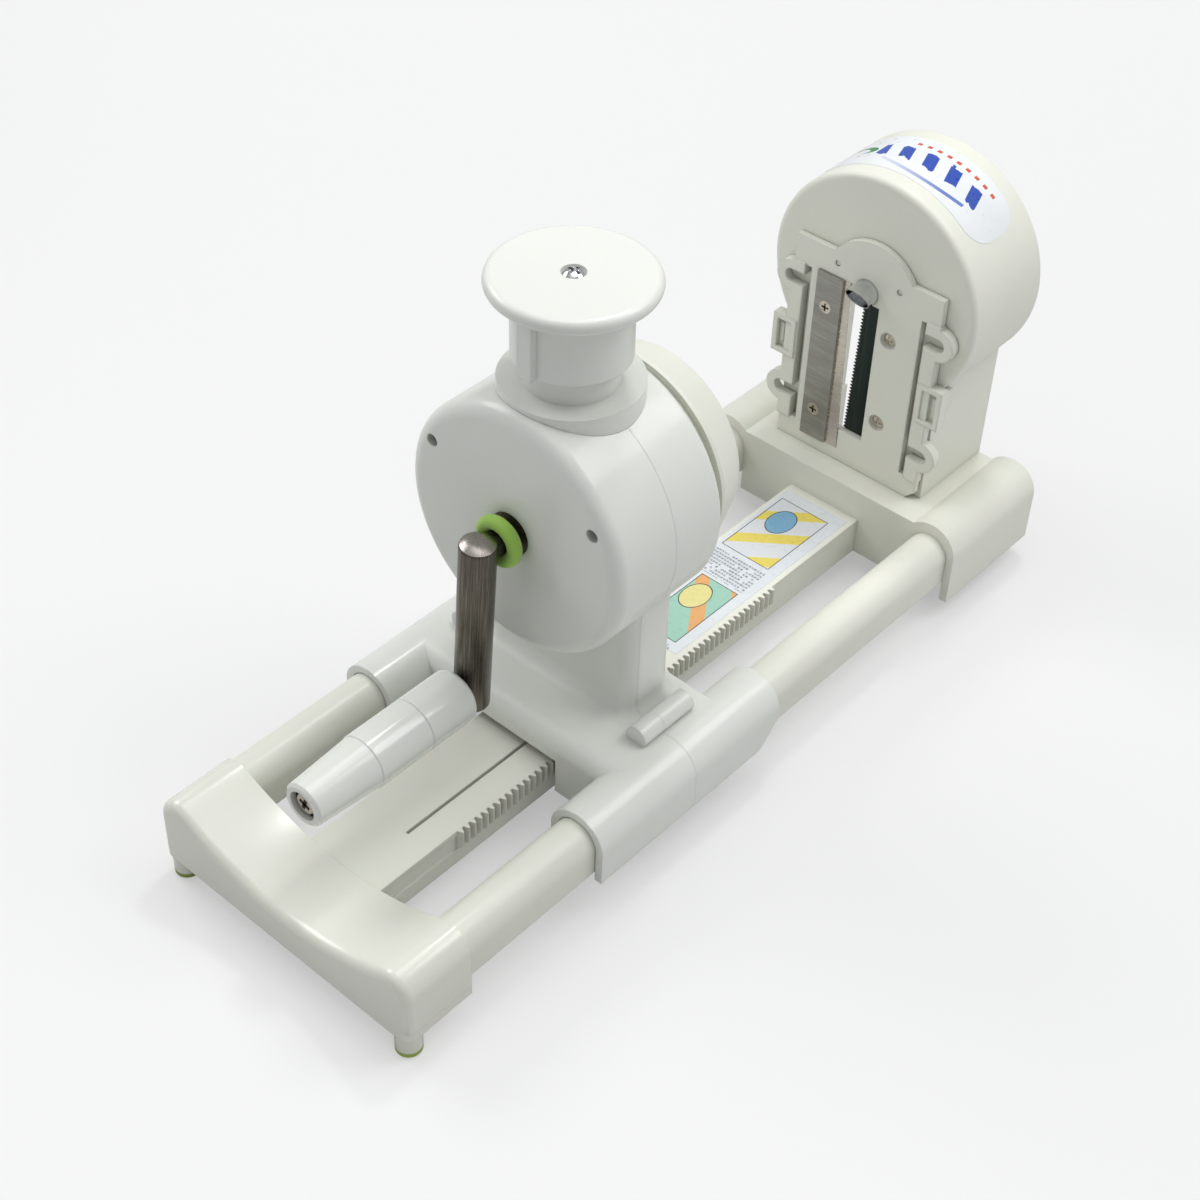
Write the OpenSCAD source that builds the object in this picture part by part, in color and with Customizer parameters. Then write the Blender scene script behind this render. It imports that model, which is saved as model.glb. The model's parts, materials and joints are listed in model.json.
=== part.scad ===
// Hand cranked vegetable spiralizer: a palm pushed carriage on two rails, turned by a crank,
// that drives a vegetable held on a spiked disc into a blade plate on a hollow tower.
// Length runs along Y with the crank at -Y, width along X, height along Z, feet at Z = 0.

/* [Overall] */
// Length from the front face of the foot block to the back of the blade drum
total_l = 412; // [400:1:430]
// Distance between the centre lines of the two rails
rail_gauge = 118.6; // [112:0.2:126]
// Height of the crank spindle above the table
axis_z = 141.8; // [136:0.2:150]

/* [Rails and rack bar] */
// Width of a rail, which is also the diameter of its half-round top
rail_w = 19.8; // [18:0.2:21]
// Height of the top of a rail
rail_top = 43.2; // [42:0.2:45]
// Height of the open underside of a rail
rail_bottom = 21.2; // [19:0.2:24]
// Wall of a rail
rail_wall = 2.4; // [1.6:0.1:3.2]
// Width of the middle bar without its teeth
bar_w = 39.4; // [36:0.2:42]
// Height of the top of the middle bar
bar_top = 29.4; // [27:0.2:31]
// Height of the underside of the middle bar
bar_bottom = 11; // [9:0.2:13]
// Wall of the middle bar
bar_wall = 2.6; // [2:0.1:3.4]
// Pitch of the rack teeth
rack_pitch = 3.5; // [3.2:0.05:3.8]
// Number of rack teeth
rack_teeth = 58; // [50:1:60]
// Start of the rack, from the front face
rack_start = 76.6; // [70:0.2:84]
// Height of the band of teeth
rack_h = 10.4; // [8:0.2:12]

/* [Front block] */
// Width of the front block
block_w = 140; // [136:0.5:144]
// Length of the front block along the rails
block_l = 34; // [28:0.5:40]
// Height of the underside of the front block
block_bottom = 11.5; // [10:0.1:13]
// Radius of the hollow worn into the top of the front block
valley_r = 119; // [110:1:130]
// Radius of the upright front corners
block_corner = 6; // [4:0.5:7]

/* [Feet] */
// Diameter of a foot
foot_d = 11; // [9:0.2:11.4]
// Thickness of a soft pad under a foot
pad_h = 3; // [2:0.1:5]

/* [Rear block] */
// Length of the rear block along the rails
rear_l = 67; // [64:0.5:72]
// Height of the top of the crossbeam
beam_top = 45.2; // [44:0.1:47]
// Height of the underside of the rear block
rear_bottom = 10.4; // [9:0.1:12]
// Depth that a rail reaches into the rear block
socket_l = 47; // [38:0.5:50]

/* [Blade tower] */
// Radius of the blade drum
drum_r = 54.6; // [52:0.2:57]
// Length of the blade drum
drum_l = 52; // [48:0.1:56]
// Half width of the tower below the drum
tower_half = 41.5; // [41.2:0.1:44]
// Wall of the tower
tower_wall = 3; // [2:0.1:4]
// Rounding of the drum's rims
drum_rim = 3; // [1:0.1:5]

/* [Blade plate] */
// Thickness of the blade plate
plate_t = 3.4; // [3.2:0.1:5]
// Half width of the blade plate
plate_half = 40; // [38:0.2:41]
// Height of the shoulders' top
shoulder_top = 155.2; // [152:0.2:158]
// Thickness of the shoulders, down to the spring arms
shoulder_t = 14.2; // [12:0.1:16]
// Radius of the round tab over the tube
tab_r = 24.5; // [22:0.1:27]
// Width of the window in front of the comb
window_w = 19.5; // [17:0.1:22]
// Outer radius of the coring tube
tube_r = 6.2; // [5:0.1:8]
// Wall of the coring tube
tube_wall = 0.6; // [0.4:0.1:1.2]
// Length of the tube in front of the plate, at its longer side
tube_reach = 11.2; // [10:0.2:18]
// Diameter of a blade screw's head
blade_screw_d = 6.2; // [5:0.1:7]

/* [Carriage] */
// Place of the sleeves' front ends, from the front face
carriage_y = 104; // [96:1:112]
// Length of a sleeve
sleeve_l = 112; // [104:1:120]
// Wall of a sleeve
sleeve_wall = 3.5; // [2.5:0.1:4]
// Radius of the round housing
housing_r = 55; // [54:0.2:58]
// Length of the round housing
housing_l = 60.3; // [59:0.1:63]
// Front of the housing, behind the sleeves' front ends
housing_set = 24.4; // [20:0.2:28]
// Wall of the housing
housing_wall = 3; // [2.2:0.1:3.4]
// Soft rounding of the front cover's rim
cover_rim = 6; // [3:0.2:9]
// Half width of the pillar under the housing
pillar_half = 40; // [39:0.2:42]
// Depth of the pillar under the housing
pillar_l = 26; // [24:0.5:28]
// Height of the carriage's crossbar
crossbar_top = 46.9; // [46:0.1:49]

/* [Palm knob] */
// Radius of the knob's top
knob_r = 33; // [30:0.2:36]
// Height of the knob's top
knob_top = 244; // [240:0.5:250]
// Travel of the knob
knob_travel = 6.4; // [4:0.1:6.6]
// Outer radius of the knob's skirt
skirt_r = 23.2; // [22.4:0.1:24]
// Radius of the neck inside the skirt
neck_r = 19; // [17:0.1:19.6]
// Radius of the flange under the neck
flange_r = 28.4; // [25:0.1:29]

/* [Crank] */
// Distance from the spindle to the grip
crank_throw = 70; // [60:0.5:74]
// Lean of the crank toward -X as it stands
crank_lean = 3.4; // [0:0.1:12]
// Diameter of the crank arm's rod
arm_d = 15; // [13:0.1:17]
// Diameter of the spindle
spindle_d = 10.5; // [9:0.1:12]
// Length of the grip
grip_l = 83; // [70:0.5:90]
// Radius of the grip's middle
grip_r = 12; // [10:0.1:13]
// Radius of the grip's outer end
grip_end_r = 9.7; // [8.6:0.1:9.9]
// Thickness of the soft ring on the spindle
ring_t = 6; // [4:0.1:6.4]

/* [Spiked disc] */
// Radius of the spiked disc at its rim
disc_r = 48.5; // [47:0.1:52]
// Radius of the disc at its spiked face
disc_face_r = 42; // [38:0.1:46]
// Length of the disc in front of the collar
disc_l = 20; // [14:0.1:20.5]
// Number of spikes
spike_n = 6; // [4:1:8]
// Length of a spike
spike_l = 11; // [8:0.5:12]

/* [Hidden] */
$fn = 96;

// Overrun of every cut past the face that it opens
over = 1;
// Gap of two pieces that are pressed or glued together
seat_gap = 0.03;
// Radial gap of a shaft in its bore
run_gap = 0.05;
// Gap of faces that slide past each other
slide_gap = 0.3;

// Place along Y of a distance from the front face
function at(v) = v - total_l / 2;

// Rails
rail_x = rail_gauge / 2;
rail_r = rail_w / 2;
rail_cz = rail_top - rail_r;
rail_start = block_l;
drum_overhang = 1;
rear_start = total_l - drum_overhang - rear_l;
rail_end = rear_start + socket_l;

// Middle bar, with a long slot in its top and a step in front of the teeth
bar_slot_w = 1.5;
bar_slot_x = 5.9;
bar_slot_lead = 14;
bar_slot_start = rack_start - bar_slot_lead;
bar_slot_l = 78;
bar_step = 0.5;

// Rack teeth: pitch line, heights over and under it, and the share of the pitch that is tooth
rack_over = 1.1;
rack_under = 1.5;
rack_set = 1.21;
rack_line = bar_w / 2 + rack_set;
rack_flank = 20;
rack_tooth_share = 0.44;
rack_tooth_w = rack_tooth_share * rack_pitch;
rack_bevel = 2;

// Front block
block_wall = 3;
horn_r = block_w / 2 - rail_x;
horn_rise = 0.7;
horn_cz = rail_cz + horn_rise;
valley_rise = 0.1;
valley_z = bar_top + valley_rise;
spigot_l = 15;
tongue_l = 10;

// Feet stand flush inside the front corners, and under the sleeves at the back
foot_r = foot_d / 2;
foot_in = 5.8;
front_foot_x = block_w / 2 - foot_in;
front_foot_y = foot_in;
rear_foot_in = 6.8;
rear_foot_shift = 1.3;
rear_foot_x = rail_x - rear_foot_shift;
rear_foot_y = rear_start + rear_l - rear_foot_in;
rear_foot_root = 5;
pad_edge = 1;

// Rear block
rear_sleeve_r = rail_r + slide_gap + sleeve_wall;
rear_sleeve_rise = 2.2;
beam_lap = 2;
beam_half = rail_x - rail_r + beam_lap;
beam_inset = 2;
beam_l = 27;
beam_wall = 3;
chute_step = 1.5;
chute_half = tower_half - tower_wall - chute_step;

// Blade tower
drum_start = total_l - drum_l;
tower_set = 0.3;
tower_start = drum_start + tower_set;
tower_l = drum_l - tower_set - drum_rim;
tower_window_half = 24;
tower_window_z = 54;
tower_window_drop = 3.8;
tube_hole_r = 10.5;
pin_x = 16.8;
pin_z = 149.2;
pin_r = 1.1;
pin_l = 3;
drum_label_start = 9.5;
drum_label_l = 33;
drum_label_half_angle = 52;

// Thin sheets: the one on the drum above, and the sticker of the bar
skin_t = 0.15;
sticker_w = 35;
sticker_side = 1.7;
sticker_l = 124;
sticker_end = 5;

// Blade plate with its spring arms
plate_gap = 0.2;
plate_start = drum_start - plate_gap - plate_t;
plate_bottom = beam_top + seat_gap;
plate_corner = 4.5;
tab_x = 2;
tab_z = 142.5;
arm_slot_x = 30.2;
arm_inner_x = 33.4;
arm_outer_x = 40.6;
arm_foot_z = 57;
loop_r = 8;
loop_x = 40.3;
upper_loop_z = 133;
lower_loop_z = 71.5;
loop_bar = 4.6;
arm_t = 4.6;
finger_in = 34.3;
finger_out = 47.2;
finger_bottom = 90;
finger_top = 110.7;
finger_frame = 2.6;
finger_sink = 1.6;
hook_t = 2.2;
hook_l = 9;

// Blades: a ground strip under a clamp on the left, and a toothed comb behind the plate
blade_t = 0.9;
clamp_t = 1.3;
clamp_left = -26.2;
clamp_right = -12.1;
clamp_bottom = 52;
clamp_top = 142.6;
blade_edge_top = -8.8;
blade_edge_bottom = -5.6;
blade_bevel_w = 2.6;
clamp_lap = 1;
window_right = 7.7;
window_bottom = 63;
window_top = 136.5;
comb_t = 1;
comb_tip_top = -2.1;
comb_tip_bottom = -4.6;
comb_right = 21;
comb_bottom = 63.6;
comb_top = 135.3;
comb_pitch = 1.8;
comb_tooth = 1.5;
comb_room = 0.2;
blade_screw_x = -20.1;
blade_screw_shares = [0.176, 0.806];
blade_screw_zs = [for (share = blade_screw_shares) clamp_bottom + share * (clamp_top - clamp_bottom)];
comb_screw_x = 14.5;
comb_screw_shares = [0.187, 0.822];
comb_screw_zs = [for (share = comb_screw_shares) comb_bottom + share * (comb_top - comb_bottom)];
comb_hole_r = 4.1;
shank_hole_r = 1.7;
screw_shank_share = 0.42;
screw_depth_share = 0.7;
hole_depth_share = 0.8;
cross_l_share = 0.62;
cross_w_share = 0.16;
tube_back = 26;
tube_slant = 33;

// Carriage, split across at the seam
carriage_end = carriage_y + sleeve_l;
housing_start = carriage_y + housing_set;
housing_end = housing_start + housing_l;
housing_bore_r = housing_r - housing_wall;
rear_rim = 2;
seam_set = 33.1;
seam_y = housing_start + seam_set;
knob_y = seam_y;
sleeve_r = rail_r + slide_gap + sleeve_wall;
sleeve_bottom = 17;
sleeve_cut = 11;
pillar_set = 28.6;
pillar_start = housing_start + pillar_set;
pillar_corner = 7;
pillar_flare = 6.8;
crossbar_over = 1.3;
crossbar_l = housing_l + crossbar_over;
crossbar_round = 8;
tunnel_side = 5.6;
tunnel_half = bar_w / 2 + tunnel_side;
tunnel_head = 5;
tunnel_top = bar_top + tunnel_head;
boss_x = 50;
boss_z = 50;
boss_r = 5;
boss_set = 21.1;
boss_start = housing_start + boss_set;
boss_l = 30.5;
boss_hole_r = 2.6;
cover_hole_x = 41.2;
cover_hole_rise = 22.6;
cover_hole_r = 2.75;
cover_post_r = 4.3;
cover_hole_l = 12;
shell_screw_r = 1.5;
shell_screw_l = 24;
pilot_r = 1.45;

// Spindle, its two bushes and the soft ring
spindle_r = spindle_d / 2;
bush_r = 9.3;
bush_l = 12.6;
bush_sink = 0.5;
bush_post_r = 12.4;
rear_bush_l = 9;
washer_t = 1.2;
washer_r = 8.6;
ring_gap = 3.2;
arm_gap = 11.5;
ring_y = housing_start - ring_gap - ring_t / 2;
arm_y = ring_y - arm_gap;
arm_dome = 1.6;
arm_tail = 2;

// Worm gear on the spindle and worm wheel on the feed shaft
pinion_teeth = 16;
pinion_r = pinion_teeth * rack_pitch / (2 * PI);
feed_x = rack_line + pinion_r;
feed_set = 2.5;
feed_y = seam_y + feed_set;
feed_r = 2.5;
worm_r = 10;
wheel_teeth = 28;
wheel_r = feed_x - worm_r;
wheel_pitch = 2 * PI * wheel_r / wheel_teeth;
worm_over = 1.2;
worm_under = 1.6;
worm_tooth_share = 0.3;
worm_tooth_w = worm_tooth_share * wheel_pitch;
worm_flank = 20;
worm_turns = 4;
worm_points = 24;
worm_slices = 18;
wheel_h = 6;
wheel_hub_r = 6;
wheel_hub_h = 1.8;
wheel_web_h = 3;
wheel_rim = 3;
pinion_h = 10;
pinion_start = bar_top - pinion_h;
pinion_over = 1;
pinion_under = 1.4;
pinion_tooth_share = 0.4;

// Clutch sleeve and the fork that moves it
clutch_r = 6;
clutch_groove_r = 4.4;
clutch_gap = 0.3;
clutch_bottom = axis_z + wheel_h / 2 + wheel_hub_h + clutch_gap + knob_travel;
clutch_l = 18;
clutch_rim = 1.8;
groove_h = 4.6;
groove_top = clutch_bottom + clutch_l - clutch_rim;
fork_h = 4;
fork_z = groove_top - groove_h + (groove_h - fork_h) / 2;
fork_w = 13;
plunger_r = 3;
feed_over = 10;
feed_top = clutch_bottom + clutch_l + feed_over;
feed_bush_r = 4.5;
feed_bush_l = 6;
feed_post_r = 6.2;
lower_bush_z = crossbar_top - housing_wall - feed_bush_l;
collar_h = 2.6;

// Palm knob on its turret
roof_z = axis_z + housing_r;
flange_h = 1.7;
flange_root = 10.8;
flange_top = roof_z + flange_h;
turret_bottom = roof_z - flange_root;
neck_floor = 2.5;
turret_floor = flange_top + neck_floor;
neck_wall = 2.5;
knob_rise = knob_top - flange_top;
neck_share = 0.714;
neck_top = flange_top + neck_share * knob_rise;
knob_edge = 3.2;
knob_plate = 3.5;
skirt_wall = 2.4;
skirt_share = 0.253;
skirt_bottom = flange_top + skirt_share * knob_rise;
knob_boss_r = 5.6;
knob_boss_h = 4.5;
rib_w = 7;
rib_out = 2.8;
knob_screw_r = 4.5;
knob_screw_sink = 1.1;
knob_screw_h = 2.1;
knob_screw_shank = 2;
knob_screw_l = 16;
spring_r = 8.2;
spring_wire = 0.7;
spring_turns = 7;
spring_steps = 16;
spring_sides = 6;

// Grip on its axle
axle_r = 3;
grip_gap = 0.4;
grip_start = arm_y - arm_d / 2 - grip_gap;
grip_root_l = 25;
grip_band_l = 27;
grip_round = 3;
grip_step = 0.4;
grip_soft = 1.2;
grip_seam = 0.3;
grip_sink_r = 6.5;
grip_sink = 5;
grip_screw_r = 4.5;
grip_screw_h = 2;
axle_head_gap = 0.4;
axle_end = grip_start - grip_l + grip_sink - axle_head_gap;

// Spiked disc
disc_set = 7.6;
disc_hub_r = 11;
disc_collar_r = 45.6;
disc_wall = 3;
disc_rim_l = 2;
disc_round = 2;
disc_gap = 0.9;
spike_r = 1.2;
spike_ring_r = 26;
spike_root = 2.5;
disc_screw_r = 5;
disc_screw_h = 2.4;
disc_screw_shank = 2.5;
disc_start = housing_end + disc_set;
disc_face = disc_start + disc_l;

shell_colour = [0.87, 0.88, 0.87];
ivory = [0.88, 0.87, 0.82];
steel = [0.72, 0.71, 0.69];
dark_steel = [0.36, 0.33, 0.31];
lime = [0.62, 0.85, 0.31];

// Draws a flat X-Z outline from y0 to y1
module along_y(y0, y1) {
    translate([0, y1, 0]) rotate([90, 0, 0]) linear_extrude(height = y1 - y0) children();
}

// Turns a half profile, radius across and length up, round a line along Y from y0
module turned_y(y0, x = 0, z = axis_z) {
    translate([x, y0, z]) rotate([-90, 0, 0]) rotate_extrude() children();
}

// Straight round bar along Y
module rod_y(r, y0, y1, x = 0, z = axis_z) {
    translate([x, y0, z]) rotate([-90, 0, 0]) cylinder(r = r, h = y1 - y0);
}

// Flat outline of a half-round top over straight sides
module arch(r, cz, bottom) {
    translate([0, cz]) circle(r = r);
    translate([-r, bottom]) square([2 * r, cz - bottom]);
}

// Flat rectangle with round corners, centred
module soft_rect(w, l, r) {
    square([w - 2 * r, l], center = true);
    square([w, l - 2 * r], center = true);
    for (sx = [-1, 1], sy = [-1, 1]) {
        translate([sx * (w / 2 - r), sy * (l / 2 - r)]) circle(r = r);
    }
}

// Half profile of a disc of length l whose two rims are rounded
module disc_profile(r, l, front_round, back_round) {
    square([r - front_round, l / 2]);
    translate([0, l / 2]) square([r - back_round, l / 2]);
    translate([r - front_round, front_round]) circle(r = front_round);
    translate([r - back_round, l - back_round]) circle(r = back_round);
    if (l > front_round + back_round) {
        translate([0, front_round]) square([r, l - front_round - back_round]);
    }
}

// Cross recess cut into the top of a screw head of radius r at the origin
module cross_recess(r, depth) {
    for (turn = [0, 90]) {
        rotate([0, 0, turn]) translate([0, 0, over / 2 - depth / 2]) {
            cube([2 * r * cross_l_share, 2 * r * cross_w_share, depth + over], center = true);
        }
    }
}

// Countersunk screw with its head's top at the origin, pointing down
module sunk_screw(head_r, shank_r, l) {
    head_h = head_r - shank_r;
    difference() {
        union() {
            translate([0, 0, -head_h]) cylinder(r1 = shank_r, r2 = head_r, h = head_h);
            translate([0, 0, -l]) cylinder(r = shank_r, h = l - head_h / 2);
        }
        cross_recess(head_r, head_h / 2);
    }
}

// Round headed screw with the underside of its head at the origin, pointing down
module round_screw(head_r, head_h, shank_r, l) {
    dome_r = (head_r * head_r + head_h * head_h) / (2 * head_h);
    difference() {
        union() {
            intersection() {
                translate([0, 0, head_h - dome_r]) sphere(r = dome_r);
                cylinder(r = head_r, h = head_h + over);
            }
            translate([0, 0, -l]) cylinder(r = shank_r, h = l + head_h / 2);
        }
        translate([0, 0, head_h]) cross_recess(head_r, head_h / 2);
    }
}

// Outline of the front block, made smaller all round by inset
module block_outline(inset = 0) {
    r = horn_r - inset;
    difference() {
        union() {
            for (side = [-1, 1]) translate([side * rail_x, horn_cz]) circle(r = r);
            translate([-rail_x - r, block_bottom]) {
                square([2 * (rail_x + r), horn_cz - block_bottom]);
            }
            translate([-rail_x, horn_cz]) square([2 * rail_x, r]);
        }
        translate([0, valley_z + valley_r]) circle(r = valley_r + inset, $fn = 4 * $fn);
    }
}

module front_block() {
    color(shell_colour) {
        difference() {
            intersection() {
                along_y(at(0), at(block_l)) block_outline();
                translate([0, at(block_l), 0]) linear_extrude(height = axis_z) {
                    soft_rect(block_w, 2 * block_l, block_corner);
                }
            }
            along_y(at(block_wall), at(block_l - block_wall)) {
                difference() {
                    block_outline(block_wall);
                    for (side = [-1, 1]) {
                        translate([side * front_foot_x, block_bottom]) {
                            square([2 * foot_r, block_wall], center = true);
                        }
                    }
                }
            }
            translate([0, at(block_l / 2), block_bottom]) {
                cube([block_w - 2 * block_wall, block_l - 2 * block_wall, block_wall], center = true);
            }
        }
        for (side = [-1, 1]) {
            translate([side * front_foot_x, at(front_foot_y), pad_h]) {
                cylinder(r = foot_r, h = horn_cz - pad_h);
            }
            translate([side * rail_x, 0, 0]) along_y(at(block_l) - over, at(block_l + spigot_l)) {
                arch(rail_r - rail_wall - seat_gap, rail_cz, rail_bottom + rail_wall);
            }
        }
        tongue_half = bar_w / 2 - bar_wall - seat_gap;
        tongue_bottom = block_bottom + rail_wall;
        along_y(at(block_l) - over, at(block_l + tongue_l)) translate([-tongue_half, tongue_bottom]) {
            square([2 * tongue_half, bar_top - bar_wall - seat_gap - tongue_bottom]);
        }
    }
}

// Two soft pads under the feet at x on both sides
module foot_pads(x, y) {
    for (side = [-1, 1]) translate([side * x, at(y), 0]) {
        translate([0, 0, pad_edge]) cylinder(r = foot_r, h = pad_h - pad_edge);
        cylinder(r1 = foot_r - pad_edge, r2 = foot_r, h = pad_edge);
    }
}

module front_foot_pads() {
    color(lime) foot_pads(front_foot_x, front_foot_y);
}

module rear_foot_pads() {
    color(lime) foot_pads(rear_foot_x, rear_foot_y);
}

// Rail on one side, open underneath
module rail(side) {
    color(ivory) translate([side * rail_x, 0, 0]) along_y(at(rail_start), at(rail_end)) {
        difference() {
            arch(rail_r, rail_cz, rail_bottom);
            arch(rail_r - rail_wall, rail_cz, rail_bottom - over);
        }
    }
}

module left_rail() {
    rail(-1);
}

module right_rail() {
    rail(1);
}

// Points of one rack tooth at place y, as seen from above
function rack_tooth(y) = let(
    half = rack_tooth_w / 2,
    out = rack_over * tan(rack_flank),
    in = rack_under * tan(rack_flank)
) [
    [rack_line - rack_under, y - half - in], [rack_line + rack_over, y - half + out],
    [rack_line + rack_over, y + half - out], [rack_line - rack_under, y + half + in]
];

module centre_rack_bar() {
    inner_half = bar_w / 2 - bar_wall;
    back_x = bar_w / 2 - bar_wall / 2;
    rack_end = rack_start + rack_teeth * rack_pitch;
    color(ivory) difference() {
        union() {
            along_y(at(block_l), at(rear_start)) {
                translate([-bar_w / 2, bar_bottom]) square([bar_w, bar_top - bar_bottom]);
            }
            difference() {
                translate([0, 0, bar_top - rack_h]) linear_extrude(height = rack_h) {
                    polygon(concat(
                        [[back_x, at(rack_start)]],
                        [for (i = [0:rack_teeth - 1])
                            each rack_tooth(at(rack_start + (i + 0.5) * rack_pitch))],
                        [[back_x, at(rack_end)]]
                    ));
                }
                along_y(at(rack_start) - over, at(rack_end) + over) {
                    translate([bar_w / 2, bar_top - rack_h]) polygon([
                        [0, -over], [0, 0], [rack_bevel + over, rack_bevel + over], [rack_bevel + over, -over]
                    ]);
                }
            }
        }
        along_y(at(block_l) - over, at(rear_start) + over) {
            translate([-inner_half, bar_bottom - over]) {
                square([2 * inner_half, bar_top - bar_wall - bar_bottom + over]);
            }
        }
        translate([bar_slot_x - bar_slot_w / 2, at(bar_slot_start), bar_top - bar_wall - over]) {
            cube([bar_slot_w, bar_slot_l, bar_wall + 2 * over]);
        }
        translate([bar_w / 2 - bar_step, at(block_l) - over, bar_top - rack_h]) {
            cube([bar_step + over, rack_start - block_l + over, rack_h - bar_wall]);
        }
    }
}

module instruction_sticker() {
    y0 = at(rear_start - sticker_end - sticker_l);
    color("white") translate([sticker_side - bar_w / 2, y0, bar_top]) cube([sticker_w, sticker_l, skin_t]);
}

module rear_block() {
    rear_cz = rail_cz + rear_sleeve_rise;
    color(ivory) {
        difference() {
            union() {
                translate([-beam_half, at(rear_start), rear_bottom]) {
                    cube([2 * beam_half, rear_l - beam_inset, beam_top - rear_bottom]);
                }
                for (side = [-1, 1]) translate([side * rail_x, 0, 0]) {
                    along_y(at(rear_start), at(rear_start + rear_l)) {
                        arch(rear_sleeve_r, rear_cz, rear_bottom);
                    }
                }
            }
            for (side = [-1, 1]) translate([side * rail_x, 0, 0]) {
                along_y(at(rear_start) - over, at(rail_end) + seat_gap) {
                    arch(rail_r + seat_gap, rail_cz, rear_bottom - over);
                }
            }
            inner = beam_half - beam_wall - 2 * rail_wall;
            translate([-inner, at(rear_start + beam_wall), rear_bottom - over]) {
                cube([2 * inner, beam_l - 2 * beam_wall, beam_top - rear_bottom - beam_wall + over]);
            }
            translate([-chute_half, at(rear_start + beam_l), rear_bottom - over]) {
                cube([2 * chute_half, rear_l, beam_top - rear_bottom + 2 * over]);
            }
        }
        for (side = [-1, 1]) translate([side * rear_foot_x, at(rear_foot_y), pad_h]) {
            cylinder(r = foot_r, h = rear_bottom + rear_foot_root - pad_h);
        }
    }
}

module blade_tower() {
    color(ivory) {
        difference() {
            union() {
                turned_y(at(drum_start)) disc_profile(drum_r, drum_l, drum_rim, drum_rim / 2);
                translate([-tower_half, at(tower_start), beam_top]) {
                    cube([2 * tower_half, tower_l, axis_z - beam_top]);
                }
            }
            rod_y(drum_r - tower_wall, at(drum_start + tower_wall), at(total_l) + over);
            inner = tower_half - tower_wall;
            translate([-inner, at(drum_start + tower_wall), beam_top - over]) {
                cube([2 * inner, drum_l, axis_z - beam_top + over]);
            }
            translate([-tower_window_half, at(drum_start) - over, tower_window_z]) {
                cube([2 * tower_window_half, tower_wall + 2 * over,
                    axis_z - tower_window_drop - tower_window_z]);
            }
            rod_y(tube_hole_r, at(drum_start) - over, at(drum_start + tower_wall) + over);
        }
        for (side = [-1, 1]) {
            rod_y(pin_r, at(drum_start - pin_l), at(drum_start + tower_wall / 2), side * pin_x, pin_z);
        }
    }
}

// Thin sleeve of paper round the top of the drum, between two angles from upright
module drum_label() {
    color("white") translate([0, at(drum_start + drum_label_start), axis_z]) rotate([-90, 0, 0]) {
        rotate([0, 0, -90 - drum_label_half_angle]) rotate_extrude(angle = 2 * drum_label_half_angle) {
            translate([drum_r + seat_gap, 0]) square([skin_t, drum_label_l]);
        }
    }
}

// Outline of the plate between its spring arms
module plate_outline() {
    difference() {
        union() {
            translate([-plate_half, plate_bottom]) square([2 * plate_half, arm_foot_z - plate_bottom]);
            translate([-arm_slot_x, plate_bottom]) square([2 * arm_slot_x, shoulder_top - plate_bottom]);
            translate([-plate_half, shoulder_top - shoulder_t]) square([2 * plate_half, shoulder_t]);
            translate([tab_x, tab_z]) circle(r = tab_r);
        }
        translate([plate_half, plate_bottom]) rotate(45) square(plate_corner * sqrt(2), center = true);
    }
}

// Outline of the spring arm on the right
module arm_outline() {
    difference() {
        union() {
            translate([arm_inner_x, arm_foot_z - over]) {
                square([arm_outer_x - arm_inner_x, shoulder_top - shoulder_t + 2 * over - arm_foot_z]);
            }
            for (z = [upper_loop_z, lower_loop_z]) translate([loop_x, z]) circle(r = loop_r);
        }
        for (z = [upper_loop_z, lower_loop_z]) translate([loop_x, z]) {
            circle(r = loop_r - loop_bar);
            translate([-loop_r, loop_bar - loop_r]) square([loop_r, 2 * (loop_r - loop_bar)]);
        }
        translate([arm_slot_x, shoulder_top - shoulder_t]) square([arm_inner_x - arm_slot_x, over]);
    }
}

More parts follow.
